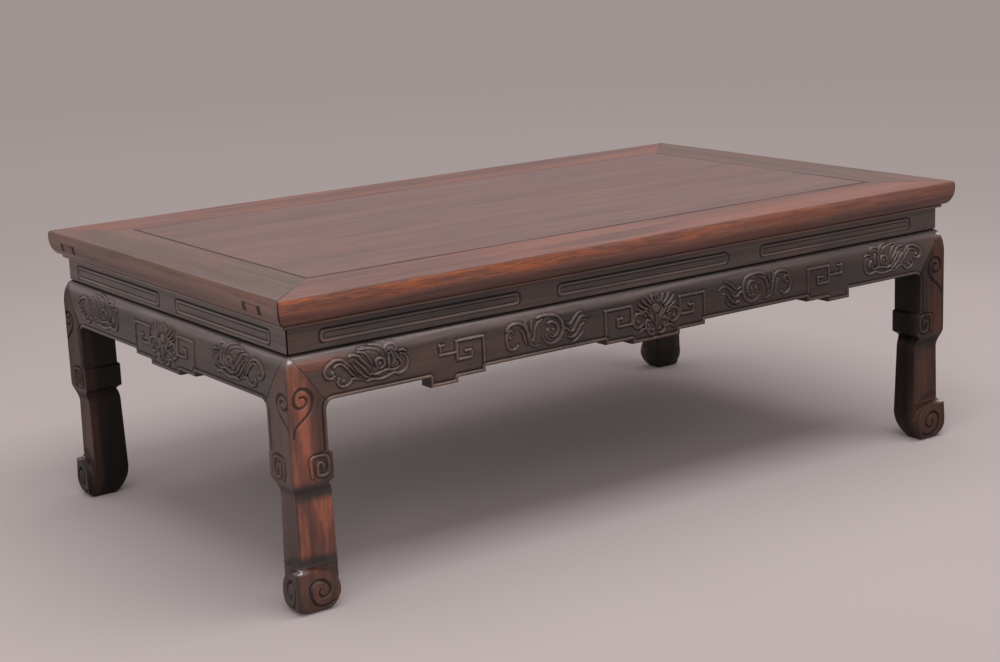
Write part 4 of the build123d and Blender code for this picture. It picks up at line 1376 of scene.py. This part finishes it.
def floor_material():
    """Pale paper near the table that runs out into the backdrop's colour."""
    n = Nodes("floor_paper")
    place = n.add("ShaderNodeTexCoord").outputs["Object"]
    tint = n.ramp(n.noise(place, 1.5, 2.0), 0.3, 0.7, 0.97, 1.0)
    shade = n.add("ShaderNodeCombineColor", Red=tint, Green=tint, Blue=tint).outputs[0]
    base = n.mix(1.0, FLOOR, shade, "MULTIPLY")
    paper = n.add("ShaderNodeBsdfDiffuse", Color=base, Roughness=0.5).outputs[0]
    distance = n.add("ShaderNodeVectorMath", {"operation": "LENGTH"}, Vector=place).outputs["Value"]
    fading = n.mix(n.ramp(distance, 1.7, 4.6, 0.0, 1.0), BACKDROP_NEAR, BACKDROP)
    far = n.add("ShaderNodeEmission", Color=fading, Strength=1.0).outputs[0]
    blend = n.add("ShaderNodeMixShader", Fac=n.ramp(distance, 0.75, 2.8, 0.0, 1.0))
    n.put(blend.inputs[1], paper)
    n.put(blend.inputs[2], far)
    n.add("ShaderNodeOutputMaterial", Surface=blend.outputs[0])
    return n.material


def build_stage():
    """A wide pale floor."""
    bm = bmesh.new()
    bmesh.ops.create_grid(bm, x_segments=8, y_segments=8, size=40.0)
    mesh = bpy.data.meshes.new("floor")
    bm.to_mesh(mesh)
    bm.free()
    mesh.materials.append(floor_material())
    floor = bpy.data.objects.new("floor", mesh)
    bpy.context.collection.objects.link(floor)


def area_light(name, place, target, size, power):
    """A soft lamp that faces the target."""
    data = bpy.data.lights.new(name, "AREA")
    data.shape = "RECTANGLE"
    data.size, data.size_y = size
    data.energy = power
    lamp = bpy.data.objects.new(name, data)
    lamp.location = place
    lamp.rotation_euler = (Vector(target) - Vector(place)).to_track_quat("-Z", "Y").to_euler()
    bpy.context.collection.objects.link(lamp)


# Name, place, target and size in metres, and power in watts
LAMPS = [
    ("overhead", (0.1, -0.9, 2.2), (0.1, 0, 0.2), (2.6, 1.1), 31.0),
    ("overhead_back", (0.2, 0.35, 2.2), (0.1, 0, 0.2), (2.7, 1.5), 14.0),
    ("key", (-1.25, -1.5, 1.15), (-0.4, -0.2, 0.2), (0.6, 0.6), 3.0),
    ("left_fill", (-1.9, -0.6, 0.5), (-0.3, -0.1, 0.22), (1.0, 0.6), 3.0),
]
WORLD_COLOUR = srgb(196, 190, 190)
WORLD_STRENGTH = 0.94


def build_light():
    """Two softboxes overhead, a small key near the front left corner, a soft fill from the left and a pale
    world, which the camera sees in the backdrop's colour."""
    for lamp in LAMPS:
        area_light(*lamp)
    world = bpy.data.worlds.new("pale")
    bpy.context.scene.world = world
    world.use_nodes = True
    tree = world.node_tree
    background = tree.nodes["Background"]
    background.inputs["Color"].default_value = WORLD_COLOUR
    background.inputs["Strength"].default_value = WORLD_STRENGTH
    seen = tree.nodes.new("ShaderNodeBackground")
    seen.inputs["Color"].default_value = BACKDROP
    path = tree.nodes.new("ShaderNodeLightPath")
    blend = tree.nodes.new("ShaderNodeMixShader")
    tree.links.new(path.outputs["Is Camera Ray"], blend.inputs[0])
    tree.links.new(background.outputs[0], blend.inputs[1])
    tree.links.new(seen.outputs[0], blend.inputs[2])
    tree.links.new(blend.outputs[0], tree.nodes["World Output"].inputs["Surface"])


# Fitted to the photograph
CAMERA_PLACE = (-1236.5, -1733.1, 659.3)
CAMERA_YAW = 0.6116288601
CAMERA_PITCH = -0.2305616406
CAMERA_ROLL = -0.0411104516
CAMERA_LENS = 68.63


def build_camera():
    """The camera stands where the photograph was taken from."""
    data = bpy.data.cameras.new("camera")
    data.sensor_width = 36.0
    data.lens = CAMERA_LENS
    data.clip_end = 100.0
    camera = bpy.data.objects.new("camera", data)
    yaw, pitch, roll = CAMERA_YAW, CAMERA_PITCH, CAMERA_ROLL
    ahead = Vector((math.sin(yaw) * math.cos(pitch), math.cos(yaw) * math.cos(pitch), math.sin(pitch)))
    right = ahead.cross(Vector((0, 0, 1))).normalized()
    up = right.cross(ahead)
    right_turned = right * math.cos(roll) + up * math.sin(roll)
    up_turned = up * math.cos(roll) - right * math.sin(roll)
    turn = Matrix((right_turned, up_turned, -ahead)).transposed().to_4x4()
    camera.matrix_world = Matrix.Translation(Vector(CAMERA_PLACE) * MM) @ turn
    bpy.context.collection.objects.link(camera)
    bpy.context.scene.camera = camera


build_stage()
build_light()
build_camera()
bpy.context.scene.view_settings.view_transform = "Standard"
